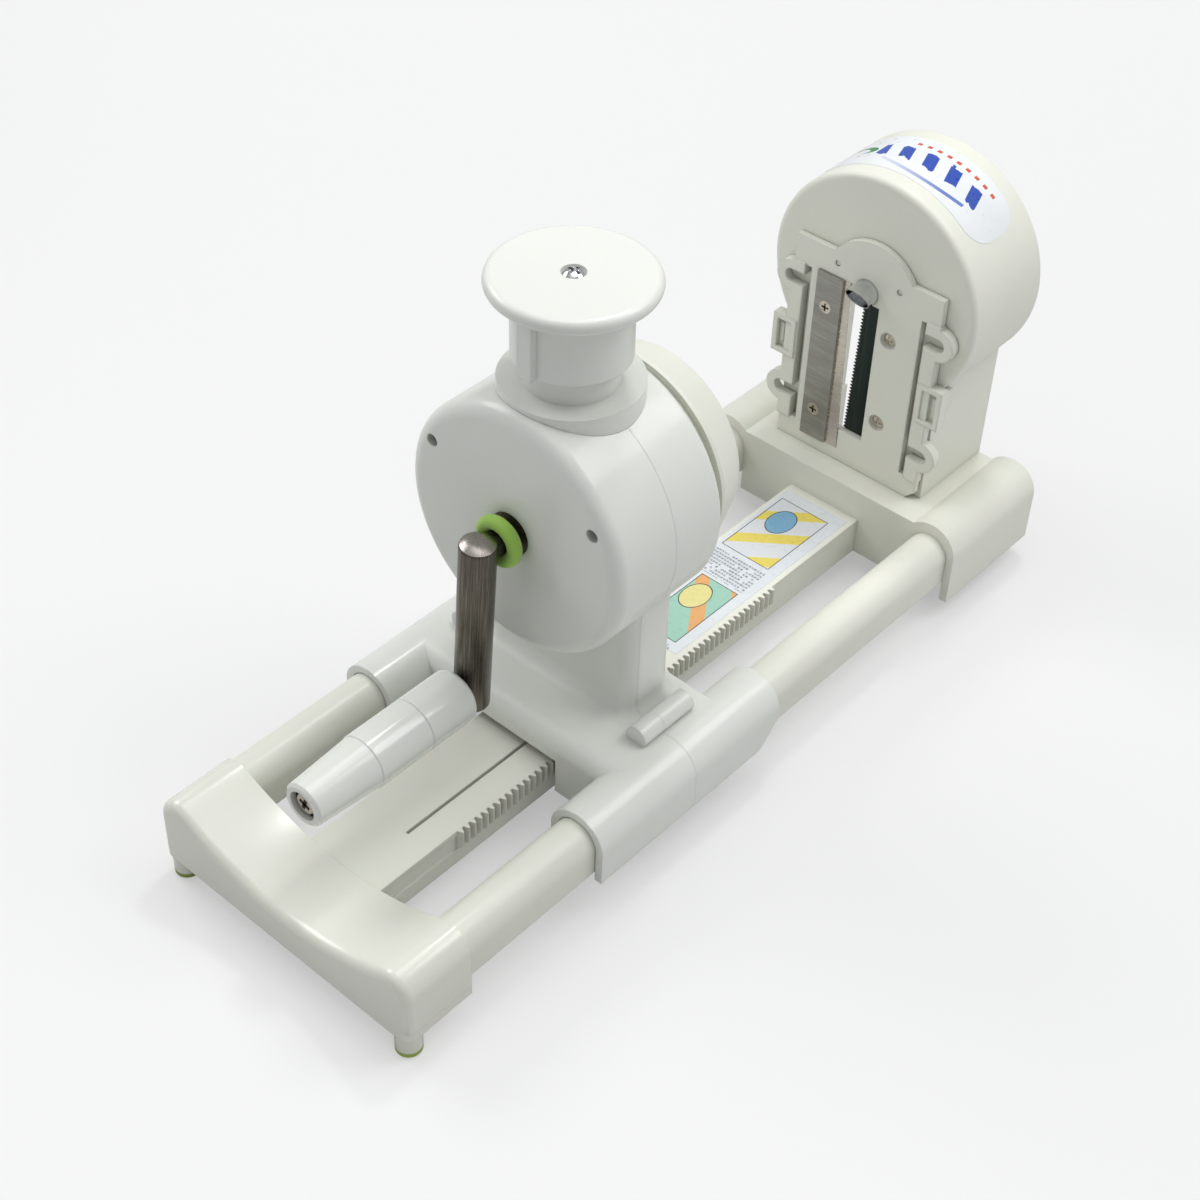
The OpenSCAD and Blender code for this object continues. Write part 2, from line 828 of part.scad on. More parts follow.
module blade_plate() {
    y0 = plate_start;
    y1 = plate_start + plate_t;
    color(ivory) {
        difference() {
            along_y(at(y0), at(y1)) plate_outline();
            translate([window_right - window_w, at(y0) - over, window_bottom]) {
                cube([window_w, plate_t + 2 * over, window_top - window_bottom]);
            }
            // Seat of the ground strip
            translate([clamp_left, at(y0) - over, clamp_bottom]) {
                cube([blade_edge_bottom + slide_gap - clamp_left, over + blade_t,
                    clamp_top - clamp_bottom]);
            }
            // Seat of the comb at the back
            translate([comb_tip_bottom - comb_room, at(y1) - comb_t - comb_room, comb_bottom - comb_room]) {
                cube([comb_right - comb_tip_bottom + 2 * comb_room, comb_t + comb_room + over,
                    comb_top - comb_bottom + 2 * comb_room]);
            }
            for (z = comb_screw_zs) {
                rod_y(comb_hole_r, at(y0) - over, at(y0 + plate_t / 2), comb_screw_x, z);
                rod_y(shank_hole_r, at(y0), at(y1), comb_screw_x, z);
            }
            for (z = blade_screw_zs) {
                rod_y(shank_hole_r, at(y0), at(y0 + hole_depth_share * plate_t), blade_screw_x, z);
            }
            for (side = [-1, 1]) {
                rod_y(pin_r + slide_gap, at(y0) - over, at(y1) + over, side * pin_x, pin_z);
            }
            rod_y(tube_r + seat_gap, at(y0) - over, at(y1) + over);
        }
        arm_y0 = y1 - arm_t;
        for (side = [0, 1]) mirror([side, 0, 0]) {
            along_y(at(arm_y0), at(y1)) arm_outline();
            difference() {
                translate([finger_in, at(arm_y0) - finger_sink / 2, finger_bottom]) {
                    cube([finger_out - finger_in, arm_t + finger_sink / 2, finger_top - finger_bottom]);
                }
                frame_x = finger_in + finger_frame;
                translate([frame_x, at(arm_y0) - finger_sink, finger_bottom + finger_frame]) {
                    cube([finger_out - finger_in - 2 * finger_frame, 2 * finger_sink,
                        finger_top - finger_bottom - 2 * finger_frame]);
                }
            }
            translate([tower_half + slide_gap, at(y0), finger_bottom + 2 * finger_frame]) {
                cube([hook_t, plate_t + hook_l, finger_top - finger_bottom - 4 * finger_frame]);
            }
        }
    }
}

module flat_blade() {
    y0 = plate_start + seat_gap;
    color(steel) difference() {
        along_y(at(y0), at(y0 + blade_t - 2 * seat_gap)) polygon([
            [clamp_left + clamp_lap, clamp_bottom + seat_gap],
            [blade_edge_bottom, clamp_bottom + seat_gap],
            [blade_edge_top, clamp_top - seat_gap], [clamp_left + clamp_lap, clamp_top - seat_gap]
        ]);
        slant = atan2(blade_edge_top - blade_edge_bottom, clamp_top - clamp_bottom);
        translate([blade_edge_bottom, at(y0), clamp_bottom]) rotate([0, slant, 0]) {
            rotate([0, 0, atan2(blade_t, blade_bevel_w)]) {
                translate([-2 * blade_bevel_w, -blade_bevel_w, -over]) {
                    cube([3 * blade_bevel_w, blade_bevel_w, clamp_top - clamp_bottom + 2 * over]);
                }
            }
        }
        for (z = blade_screw_zs) {
            rod_y(blade_screw_d / 2 - clamp_t + slide_gap, at(y0) - over, at(y0) + over + blade_t,
                blade_screw_x, z);
        }
    }
}

module blade_clamp() {
    y0 = at(plate_start - clamp_t);
    color(dark_steel) difference() {
        translate([clamp_left, y0, clamp_bottom]) {
            cube([clamp_right - clamp_left, clamp_t, clamp_top - clamp_bottom]);
        }
        for (z = blade_screw_zs) translate([blade_screw_x, y0, z]) rotate([90, 0, 0]) {
            head_r = blade_screw_d / 2 + seat_gap;
            translate([0, 0, -head_r]) cylinder(r1 = 0, r2 = head_r, h = head_r);
            translate([0, 0, -clamp_t - over]) cylinder(r = shank_hole_r, h = clamp_t + over);
            cylinder(r = head_r, h = over);
        }
    }
}

module comb_blade() {
    y1 = plate_start + plate_t;
    n = floor((comb_top - comb_bottom) / comb_pitch);
    step = (comb_top - comb_bottom) / n;
    function tip(i) = comb_tip_bottom + (comb_tip_top - comb_tip_bottom) * i / n;
    color(dark_steel) difference() {
        along_y(at(y1 - comb_t), at(y1)) polygon(concat(
            [[comb_right, comb_bottom]],
            [for (i = [0:n - 1]) each [
                [tip(i) + comb_tooth, comb_bottom + i * step],
                [tip(i), comb_bottom + (i + 0.5) * step],
                [tip(i) + comb_tooth, comb_bottom + (i + 0.9) * step]
            ]],
            [[comb_tip_top + comb_tooth, comb_top], [comb_right, comb_top]]
        ));
        for (z = comb_screw_zs) rod_y(shank_hole_r, at(y1 - comb_t) - over, at(y1) + over, comb_screw_x, z);
    }
}

module blade_screws() {
    head_r = blade_screw_d / 2;
    color(steel) for (z = blade_screw_zs) {
        translate([blade_screw_x, at(plate_start - clamp_t), z]) rotate([90, 0, 0]) {
            sunk_screw(head_r, screw_shank_share * head_r, screw_depth_share * plate_t + clamp_t);
        }
    }
}

module comb_screws() {
    head_r = comb_hole_r - 2.5 * slide_gap;
    shank_r = screw_shank_share * head_r;
    color(steel) for (z = comb_screw_zs) {
        translate([comb_screw_x, at(plate_start + plate_t / 2), z]) rotate([90, 0, 0]) {
            round_screw(head_r, plate_t / 4, shank_r, plate_t / 2 - seat_gap);
        }
    }
}

module coring_tube() {
    y0 = plate_start - tube_reach;
    color(steel) difference() {
        rod_y(tube_r, at(y0), at(plate_start + plate_t + tube_back));
        rod_y(tube_r - tube_wall, at(y0) - over, at(plate_start + plate_t + tube_back) + over);
        translate([0, at(y0), axis_z + tube_r]) rotate([tube_slant, 0, 0]) {
            translate([-2 * tube_r, -4 * tube_r, -5 * tube_r]) cube([4 * tube_r, 4 * tube_r, 6 * tube_r]);
        }
    }
}

// Sides of the carriage's two shells
module shell_half(rear) {
    y0 = rear ? at(seam_y) : at(carriage_y) - over;
    y1 = rear ? at(carriage_end) + over : at(seam_y);
    intersection() {
        children();
        translate([-block_w, y0, 0]) cube([2 * block_w, y1 - y0, knob_top]);
    }
}

// Hollow curve all round the pillar's foot
module pillar_foot() {
    module curve() {
        difference() {
            square(pillar_flare + over);
            translate([pillar_flare + over, pillar_flare + over]) circle(r = pillar_flare);
        }
    }
    side = pillar_half - pillar_corner;
    end = pillar_l / 2 - pillar_corner;
    inner = pillar_corner - over;
    translate([0, at(pillar_start + pillar_l / 2), crossbar_top - over]) {
        for (sx = [0, 1], sy = [0, 1]) mirror([sx, 0, 0]) mirror([0, sy, 0]) translate([side, end, 0]) {
            rotate_extrude(angle = 90) translate([inner, 0]) curve();
            translate([inner, 0, 0]) rotate([90, 0, 0]) linear_extrude(height = end + over) curve();
            translate([-side - over, inner, 0]) rotate([90, 0, 90]) {
                linear_extrude(height = side + over) curve();
            }
        }
    }
}

// Whole carriage body without its hollows
module carriage_outer() {
    turned_y(at(housing_start)) disc_profile(housing_r, housing_l, cover_rim, rear_rim);
    translate([0, at(pillar_start + pillar_l / 2), crossbar_top - crossbar_round]) {
        linear_extrude(height = axis_z - crossbar_top + crossbar_round) {
            soft_rect(2 * pillar_half, pillar_l, pillar_corner);
        }
    }
    pillar_foot();
    translate([-rail_x, at(housing_start + crossbar_round), sleeve_bottom]) {
        cube([rail_gauge, crossbar_l - crossbar_round, crossbar_top - sleeve_bottom]);
    }
    translate([-rail_x, at(housing_start), sleeve_bottom]) {
        cube([rail_gauge, 2 * crossbar_round, crossbar_top - crossbar_round - sleeve_bottom]);
    }
    translate([-rail_x, at(housing_start + crossbar_round), crossbar_top - crossbar_round]) {
        rotate([0, 90, 0]) cylinder(r = crossbar_round, h = rail_gauge);
    }
    for (s = [-1, 1]) {
        difference() {
            translate([s * rail_x, 0, 0]) along_y(at(carriage_y), at(carriage_end)) {
                arch(sleeve_r, rail_cz, sleeve_bottom);
            }
            translate([s * rail_x, at(carriage_end), sleeve_bottom]) rotate([45, 0, 0]) {
                cube([3 * sleeve_r, sleeve_cut * sqrt(2), sleeve_cut * sqrt(2)], center = true);
            }
        }
        rod_y(boss_r, at(boss_start), at(boss_start + boss_l), s * boss_x, boss_z);
    }
}

// Hollows of the carriage: housing, pillar, crossbar, rail tunnels and the tunnel over the rack bar
module carriage_hollows() {
    rod_y(housing_bore_r, at(housing_start + housing_wall), at(housing_end - housing_wall));
    translate([0, at(pillar_start + pillar_l / 2), crossbar_top - 2 * housing_wall]) {
        linear_extrude(height = axis_z - crossbar_top + 2 * housing_wall) {
            soft_rect(2 * (pillar_half - housing_wall), pillar_l - 2 * housing_wall, pillar_corner / 2);
        }
    }
    side = rail_x - sleeve_r;
    translate([-side, at(housing_start + housing_wall), sleeve_bottom - over]) {
        cube([2 * side, crossbar_l - 2 * housing_wall, crossbar_top - housing_wall - sleeve_bottom + over]);
    }
    for (s = [-1, 1]) translate([s * rail_x, 0, 0]) {
        along_y(at(carriage_y) - over, at(carriage_end) + over) {
            arch(rail_r + slide_gap, rail_cz, sleeve_bottom - over);
        }
    }
    translate([-tunnel_half, at(housing_start) - over, sleeve_bottom - over]) {
        cube([2 * tunnel_half, crossbar_l + 2 * over, tunnel_top - sleeve_bottom + over]);
    }
    rod_y(boss_hole_r, at(boss_start) - over, at(boss_start + boss_l / 2), -boss_x, boss_z);
}

// Round post of the housing along Y with a bore through it
module housing_post(r, bore, y0, y1, x, z) {
    difference() {
        rod_y(r, y0, y1, x, z);
        rod_y(bore, y0 - over, y1 + over, x, z);
    }
}

module carriage_front_shell() {
    post_z = axis_z + cover_hole_rise;
    color(shell_colour) {
        difference() {
            shell_half(false) difference() {
                carriage_outer();
                carriage_hollows();
            }
            rod_y(bush_r + seat_gap, at(housing_start) - over, at(housing_start + housing_wall) + over);
            for (s = [-1, 1]) {
                rod_y(cover_hole_r, at(housing_start) - over, at(seam_y) + over, s * cover_hole_x, post_z);
            }
            turret_well();
        }
        housing_post(bush_post_r, bush_r + seat_gap, at(housing_start + housing_wall / 2),
            at(housing_start + bush_l), 0, axis_z);
        for (s = [-1, 1]) {
            housing_post(cover_post_r, cover_hole_r, at(housing_start + housing_wall / 2),
                at(housing_start + cover_hole_l), s * cover_hole_x, post_z);
            housing_post(cover_post_r, shell_screw_r + seat_gap, at(housing_start + cover_hole_l),
                at(seam_y), s * cover_hole_x, post_z);
        }
    }
}

// Opening in the roof of the housing for the plunger
module turret_well() {
    translate([0, at(knob_y), axis_z]) cylinder(r = 2 * plunger_r, h = housing_r + over);
}

module carriage_rear_shell() {
    post_z = axis_z + cover_hole_rise;
    web_l = pillar_start + pillar_l - housing_wall / 2 - seam_y;
    color(shell_colour) {
        difference() {
            union() {
                difference() {
                    shell_half(true) difference() {
                        carriage_outer();
                        carriage_hollows();
                    }
                    turret_well();
                    rod_y(bush_r + seat_gap, at(housing_end - housing_wall) - over, at(housing_end) + over);
                }
                // Post under the roof and web across the pillar for the feed shaft
                intersection() {
                    translate([feed_x, at(feed_y), feed_top - feed_bush_l]) {
                        cylinder(r = feed_post_r, h = housing_r);
                    }
                    rod_y(housing_r - housing_wall / 2, at(seam_y), at(housing_end));
                }
                translate([feed_x - feed_post_r, at(seam_y), lower_bush_z]) {
                    cube([pillar_half - feed_x + feed_post_r - housing_wall / 2, web_l,
                        feed_bush_l + housing_wall]);
                }
            }
            translate([feed_x, at(feed_y), 0]) cylinder(r = feed_bush_r + seat_gap, h = feed_top);
        }
        housing_post(bush_post_r, bush_r + seat_gap, at(housing_end - rear_bush_l),
            at(housing_end - housing_wall / 2), 0, axis_z);
        for (s = [-1, 1]) {
            housing_post(cover_post_r, pilot_r, at(seam_y), at(housing_end - housing_wall / 2),
                s * cover_hole_x, post_z);
        }
    }
}

module knob_turret() {
    color(shell_colour) difference() {
        union() {
            translate([0, at(knob_y), turret_bottom]) cylinder(r = flange_r, h = flange_top - turret_bottom);
            translate([0, at(knob_y), flange_top]) cylinder(r = neck_r, h = neck_top - flange_top);
        }
        rod_y(housing_r, at(housing_start) - over, at(housing_end) + over);
        // Room for the disc's rim behind the housing
        rod_y(disc_r + disc_gap, at(housing_end), at(disc_face));
        translate([0, at(knob_y), turret_floor]) cylinder(r = neck_r - neck_wall, h = neck_top);
        translate([0, at(knob_y), axis_z]) cylinder(r = plunger_r + run_gap, h = turret_floor);
    }
}

module shell_screws() {
    color(steel) for (s = [-1, 1]) {
        translate([s * cover_hole_x, at(housing_start + cover_hole_l), axis_z + cover_hole_rise]) {
            rotate([90, 0, 0]) {
                round_screw(cover_hole_r - slide_gap, cover_hole_r / 2, pilot_r - seat_gap, shell_screw_l);
            }
        }
    }
}

// Bush of the spindle from y0 to y1
module spindle_bush(y0, y1) {
    color("peru") difference() {
        rod_y(bush_r, y0, y1);
        rod_y(spindle_r + run_gap, y0 - over, y1 + over);
    }
}

module front_spindle_bush() {
    spindle_bush(at(housing_start + bush_sink), at(housing_start + bush_l));
}

module rear_spindle_bush() {
    spindle_bush(at(housing_end - rear_bush_l), at(housing_end));
}

module feed_shaft_bushes() {
    color("peru") for (z = [lower_bush_z, feed_top - feed_bush_l]) translate([feed_x, at(feed_y), z]) {
        difference() {
            cylinder(r = feed_bush_r, h = feed_bush_l);
            translate([0, 0, -over]) cylinder(r = feed_r + run_gap, h = feed_bush_l + 2 * over);
        }
    }
}

module spindle_shaft() {
    color(dark_steel) rod_y(spindle_r, at(arm_y), at(disc_face - disc_wall));
}

// Radius of the thread at a share of a turn, with straight flanks
function thread_share(t) = let(
    off = abs(t - 0.5) * wheel_pitch,
    rise = (worm_tooth_w / 2 + worm_over * tan(worm_flank) - off) / tan(worm_flank)
) max(-worm_under, min(worm_over, rise));

module worm() {
    worm_l = worm_turns * wheel_pitch;
    color(steel) difference() {
        translate([0, at(feed_y) - worm_l / 2, axis_z]) rotate([-90, 0, 0]) {
            linear_extrude(height = worm_l, twist = -360 * worm_turns,
                slices = round(worm_turns * worm_slices), $fn = worm_points) {
                polygon([for (i = [0:worm_points - 1]) let(turn = 360 * i / worm_points)
                    (worm_r + thread_share(i / worm_points)) * [cos(turn), sin(turn)]
                ]);
            }
        }
        rod_y(spindle_r + seat_gap, at(feed_y) - worm_l / 2 - over, at(feed_y) + worm_l / 2 + over);
    }
}

module thrust_washers() {
    color(steel) for (y0 = [
        housing_start + bush_l + slide_gap,
        housing_end - rear_bush_l - slide_gap - washer_t
    ]) difference() {
        rod_y(washer_r, at(y0), at(y0 + washer_t));
        rod_y(spindle_r + seat_gap, at(y0) - over, at(y0 + washer_t) + over);
    }
}

module shaft_ring() {
    color(lime) turned_y(at(ring_y)) translate([spindle_r + seat_gap + ring_t / 2, 0]) circle(d = ring_t);
}

// Leans a piece of the crank about the spindle
module leaned() {
    translate([0, 0, axis_z]) rotate([0, crank_lean, 0]) translate([0, 0, -axis_z]) children();
}

module crank_arm() {
    arm_r = arm_d / 2;
    bottom = axis_z - crank_throw - arm_r - arm_tail;
    color(dark_steel) leaned() difference() {
        union() {
            translate([0, at(arm_y), bottom]) cylinder(r = arm_r, h = axis_z + arm_r - arm_dome - bottom);
            translate([0, at(arm_y), axis_z + arm_r - arm_dome]) {
                cylinder(r1 = arm_r, r2 = arm_r - 2 * arm_dome, h = arm_dome);
            }
        }
        rod_y(spindle_r + seat_gap, at(arm_y), at(arm_y + arm_d));
        rod_y(axle_r + seat_gap, at(arm_y - arm_d), at(arm_y + arm_r / 2), 0, axis_z - crank_throw);
    }
}

module grip_axle() {
    color(steel) leaned() rod_y(axle_r, at(axle_end), at(arm_y + arm_d / 4), 0, axis_z - crank_throw);
}

module grip_screw() {
    color(steel) leaned() translate([0, at(axle_end), axis_z - crank_throw]) rotate([90, 0, 0]) {
        difference() {
            cylinder(r1 = grip_screw_r, r2 = grip_screw_r - grip_screw_h / 3, h = grip_screw_h);
            translate([0, 0, grip_screw_h]) cross_recess(grip_screw_r, grip_screw_h / 2);
        }
    }
}

// Half profile of the disc: a short rim, and a cone that runs into the rounded edge of the face
module spiked_profile() {
    centre = [disc_face_r - disc_round, disc_l - disc_round];
    edge = [disc_r, disc_rim_l] - centre;
    turn = atan2(edge.y, edge.x) + acos(disc_round / norm(edge));
    polygon([
        [0, 0], [disc_r, 0], [disc_r, disc_rim_l],
        centre + disc_round * [cos(turn), sin(turn)], centre, [centre.x, disc_l], [0, disc_l]
    ]);
    translate(centre) circle(r = disc_round);
}

module spiked_disc() {
    back = disc_l - disc_wall;
    color(shell_colour) difference() {
        union() {
            turned_y(at(disc_start)) spiked_profile();
            rod_y(disc_collar_r, at(housing_end + disc_gap), at(disc_start + disc_rim_l));
        }
        difference() {
            rod_y(disc_face_r - disc_wall, at(housing_end) - over, at(disc_start + back));
            rod_y(disc_hub_r, at(housing_end) - over, at(disc_start + back));
        }
        rod_y(spindle_r + seat_gap, at(housing_end) - over, at(disc_face - disc_wall) + seat_gap);
        rod_y(disc_screw_shank + seat_gap, at(disc_face - 2 * disc_wall), at(disc_face) + over);
        for (i = [0:spike_n - 1]) {
            turn = 360 * i / spike_n;
            rod_y(spike_r + seat_gap, at(disc_face - spike_root), at(disc_face) + over,
                spike_ring_r * cos(turn), axis_z + spike_ring_r * sin(turn));
        }
    }
}

module disc_spikes() {
    color(steel) for (i = [0:spike_n - 1]) {
        turn = 360 * i / spike_n;
        x = spike_ring_r * cos(turn);
        z = axis_z + spike_ring_r * sin(turn);
        rod_y(spike_r, at(disc_face - spike_root + seat_gap), at(disc_face + spike_l - 3 * spike_r), x, z);
        translate([x, at(disc_face + spike_l - 3 * spike_r), z]) rotate([-90, 0, 0]) {
            cylinder(r1 = spike_r, r2 = 0, h = 3 * spike_r);
        }
    }
}

module disc_screw() {
    color(steel) translate([0, at(disc_face), axis_z]) rotate([-90, 0, 0]) {
        round_screw(disc_screw_r, disc_screw_h, disc_screw_shank, disc_wall - seat_gap);
    }
}

// Part of the grip whose half profile runs from its seam nearer to the arm
module grip_part(y0) {
    leaned() translate([0, at(y0), axis_z - crank_throw]) rotate([90, 0, 0]) rotate_extrude() children();
}

module grip_root() {
    bore = axle_r + run_gap;
    color(shell_colour) grip_part(grip_start) difference() {
        union() {
            translate([bore, grip_round]) square([grip_r - bore, grip_root_l - grip_round]);
            translate([bore, 0]) square([grip_r - grip_round - bore, grip_round + over]);
            translate([grip_r - grip_round, grip_round]) circle(r = grip_round);
        }
        translate([grip_r, grip_root_l]) rotate(45) square(2 * grip_seam, center = true);
    }
}

module grip_band() {
    bore = axle_r + run_gap;
    color(shell_colour) grip_part(grip_start - grip_root_l) difference() {
        translate([bore, 0]) square([grip_r - bore, grip_band_l]);
        for (l = [0, grip_band_l]) translate([grip_r, l]) rotate(45) square(2 * grip_seam, center = true);
    }
}

module grip_end() {
    bore = axle_r + run_gap;
    end_l = grip_l - grip_root_l - grip_band_l;
    shoulder_r = grip_r - grip_step;
    color(shell_colour) grip_part(grip_start - grip_root_l - grip_band_l) difference() {
        polygon([
            [bore, 0], [shoulder_r, 0], [grip_end_r, end_l - grip_soft],
            [grip_end_r - grip_soft, end_l], [bore, end_l]
        ]);
        translate([0, end_l - grip_sink]) square([grip_sink_r, grip_sink + over]);
    }
}

module knob_cap() {
    z0 = knob_top - 2 * knob_edge;
    color(shell_colour) translate([0, at(knob_y), 0]) difference() {
        union() {
            translate([0, 0, z0]) rotate_extrude() disc_profile(knob_r, 2 * knob_edge, knob_edge, knob_edge);
            translate([0, 0, skirt_bottom]) cylinder(r = skirt_r, h = z0 + knob_edge - skirt_bottom);
            translate([-rib_w / 2, -skirt_r - rib_out, skirt_bottom]) {
                cube([rib_w, 2 * rib_out, z0 + knob_edge - skirt_bottom]);
            }
        }
        difference() {
            translate([0, 0, skirt_bottom - over]) {
                cylinder(r = skirt_r - skirt_wall, h = knob_top - knob_plate - skirt_bottom + over);
            }
            translate([0, 0, knob_top - knob_plate - knob_boss_h]) {
                cylinder(r = knob_boss_r, h = knob_travel + knob_plate);
            }
        }
        translate([0, 0, knob_top - knob_screw_sink]) cylinder(r = knob_screw_r + slide_gap, h = knob_travel);
        translate([0, 0, skirt_bottom]) cylinder(r = knob_screw_shank + seat_gap, h = knob_top);
    }
}

module knob_screw() {
    color(steel) translate([0, at(knob_y), knob_top - knob_screw_sink]) {
        round_screw(knob_screw_r, knob_screw_h, knob_screw_shank, knob_screw_l);
    }
}

module plunger_fork() {
    top = knob_top - knob_plate - knob_boss_h;
    reach = norm([feed_x, feed_y - knob_y]);
    color(steel) translate([0, at(knob_y), 0]) difference() {
        union() {
            translate([0, 0, fork_z]) cylinder(r = plunger_r, h = top - fork_z);
            translate([0, 0, fork_z]) rotate([0, 0, atan2(feed_y - knob_y, feed_x)]) {
                linear_extrude(height = fork_h) difference() {
                    union() {
                        circle(r = fork_w / 2);
                        translate([0, -fork_w / 2]) square([reach, fork_w]);
                    }
                    translate([reach, 0]) circle(r = clutch_groove_r + slide_gap);
                }
            }
        }
        translate([0, 0, top - knob_screw_l]) {
            cylinder(r = knob_screw_shank + seat_gap, h = knob_screw_l + over);
        }
    }
}

// Ring of points of the spring's wire at a number of steps along its coil
function coil_ring(step) = let(
    turn = 360 * step / spring_steps,
    z0 = turret_floor + spring_wire + seat_gap,
    z1 = knob_top - knob_plate - spring_wire - seat_gap,
    z = z0 + (z1 - z0) * step / (spring_turns * spring_steps)
) [for (i = [0:spring_sides - 1]) let(a = 360 * i / spring_sides, r = spring_r + spring_wire * cos(a))
    [r * cos(turn), at(knob_y) + r * sin(turn), z + spring_wire * sin(a)]];

module knob_spring() {
    steps = spring_turns * spring_steps;
    points = [for (s = [0:steps]) each coil_ring(s)];
    sides = [for (s = [0:steps - 1], i = [0:spring_sides - 1]) let(
        a = s * spring_sides + i,
        b = s * spring_sides + (i + 1) % spring_sides
    ) [a, a + spring_sides, b + spring_sides, b]];
    first = [for (i = [0:spring_sides - 1]) i];
    last = [for (i = [0:spring_sides - 1]) steps * spring_sides + spring_sides - 1 - i];
    color(steel) polyhedron(points = points, faces = concat(sides, [first, last]));
}

module feed_shaft() {
    color(steel) translate([feed_x, at(feed_y), 0]) {
        translate([0, 0, pinion_start - pinion_h / 5]) {
            cylinder(r = feed_r, h = feed_top - pinion_start + pinion_h / 5 - seat_gap);
        }
        translate([0, 0, axis_z - wheel_h / 2 - slide_gap - collar_h]) cylinder(r = 2 * feed_r, h = collar_h);
    }
}

// Flat outline of a spur gear: pitch radius r, tooth width at it, heights over and under it
module gear_outline(teeth, r, w, rise, sink, flank) {
    function rim(radius, half, turn) = [radius * cos(turn + half), radius * sin(turn + half)];
    half = w / r * 90 / PI;
    tip = (w / 2 - rise * tan(flank)) / (r + rise) * 180 / PI;
    root = (w / 2 + sink * tan(flank)) / (r - sink) * 180 / PI;
    polygon([for (i = [0:teeth - 1]) let(turn = 360 * i / teeth) each [
        rim(r - sink, -root, turn), rim(r, -half, turn), rim(r + rise, -tip, turn),
        rim(r + rise, tip, turn), rim(r, half, turn), rim(r - sink, root, turn)
    ]]);
}

module rack_pinion() {
    phase = (feed_y - rack_start) / rack_pitch;
    color(steel) translate([feed_x, at(feed_y), pinion_start]) difference() {
        linear_extrude(height = pinion_h) rotate(180 + (phase - floor(phase)) * 360 / pinion_teeth) {
            gear_outline(pinion_teeth, pinion_r, pinion_tooth_share * rack_pitch, pinion_over, pinion_under,
                rack_flank);
        }
        translate([0, 0, -over]) cylinder(r = feed_r + seat_gap, h = pinion_h + 2 * over);
    }
}

module clutch_sleeve() {
    color(steel) translate([feed_x, at(feed_y), clutch_bottom]) rotate_extrude() {
        bore = feed_r + run_gap;
        groove = groove_top - clutch_bottom;
        translate([bore, 0]) square([clutch_groove_r - bore, clutch_l]);
        translate([bore, 0]) square([clutch_r - bore, groove - groove_h]);
        translate([bore, groove]) square([clutch_r - bore, clutch_l - groove]);
    }
}

module worm_wheel() {
    color("peru") translate([feed_x, at(feed_y), axis_z - wheel_h / 2]) difference() {
        union() {
            linear_extrude(height = wheel_h) rotate(180) {
                gear_outline(wheel_teeth, wheel_r, worm_tooth_w, worm_over, worm_under, worm_flank);
            }
            cylinder(r = wheel_hub_r, h = wheel_h + wheel_hub_h);
        }
        translate([0, 0, -over]) cylinder(r = feed_r + run_gap, h = wheel_h + wheel_hub_h + 2 * over);
        for (z = [-over, wheel_h / 2 + wheel_web_h / 2]) translate([0, 0, z]) difference() {
            cylinder(r = wheel_r - worm_under - wheel_rim, h = (wheel_h - wheel_web_h) / 2 + over);
            translate([0, 0, -over]) cylinder(r = wheel_hub_r, h = wheel_h + over);
        }
    }
}

front_block();
front_foot_pads();
rear_foot_pads();
left_rail();
right_rail();
centre_rack_bar();
instruction_sticker();
rear_block();
blade_tower();
drum_label();
blade_plate();
flat_blade();
blade_clamp();
comb_blade();
blade_screws();
comb_screws();
coring_tube();
carriage_front_shell();
carriage_rear_shell();
knob_turret();
shell_screws();
front_spindle_bush();
rear_spindle_bush();
feed_shaft_bushes();
spindle_shaft();
worm();
thrust_washers();
shaft_ring();
crank_arm();
grip_axle();
grip_screw();
spiked_disc();
disc_spikes();
disc_screw();
grip_root();
grip_band();
grip_end();
knob_cap();
knob_screw();
plunger_fork();
knob_spring();
feed_shaft();
rack_pinion();
clutch_sleeve();
worm_wheel();
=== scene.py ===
"""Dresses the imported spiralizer: its finishes, the pieces that are modelled here, and the studio.

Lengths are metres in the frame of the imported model: length along Y with the crank at -Y,
width along X, height along Z, and the soft feet on Z = 0.
"""
import json
import math

import bmesh
import bpy
from mathutils import Matrix, Vector


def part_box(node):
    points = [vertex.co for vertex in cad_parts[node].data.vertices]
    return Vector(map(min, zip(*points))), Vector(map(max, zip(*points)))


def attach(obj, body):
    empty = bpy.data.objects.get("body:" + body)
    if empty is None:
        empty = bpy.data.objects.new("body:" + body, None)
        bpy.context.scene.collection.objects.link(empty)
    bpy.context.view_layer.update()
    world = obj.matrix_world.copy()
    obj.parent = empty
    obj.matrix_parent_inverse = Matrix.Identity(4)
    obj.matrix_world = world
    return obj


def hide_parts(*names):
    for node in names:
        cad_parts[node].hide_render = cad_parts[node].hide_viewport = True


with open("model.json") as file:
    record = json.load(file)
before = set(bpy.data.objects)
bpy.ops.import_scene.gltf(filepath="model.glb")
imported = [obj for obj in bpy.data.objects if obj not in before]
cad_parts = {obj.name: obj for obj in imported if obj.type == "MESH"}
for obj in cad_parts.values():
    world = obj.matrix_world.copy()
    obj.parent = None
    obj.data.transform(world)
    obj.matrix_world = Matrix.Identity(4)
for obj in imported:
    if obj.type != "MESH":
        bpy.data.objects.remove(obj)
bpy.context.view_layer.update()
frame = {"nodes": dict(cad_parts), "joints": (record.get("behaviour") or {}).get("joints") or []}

bl_info = {
    "name": "Hand cranked spiralizer",
    "version": (1, 0, 0),
    "blender": (4, 5, 0),
    "location": "3D View > Sidebar > Spiralizer",
    "description": "Finishes, modelled pieces and studio of a hand cranked spiralizer",
    "category": "Object",
}

MM = 0.001
QUARTER = math.pi / 2

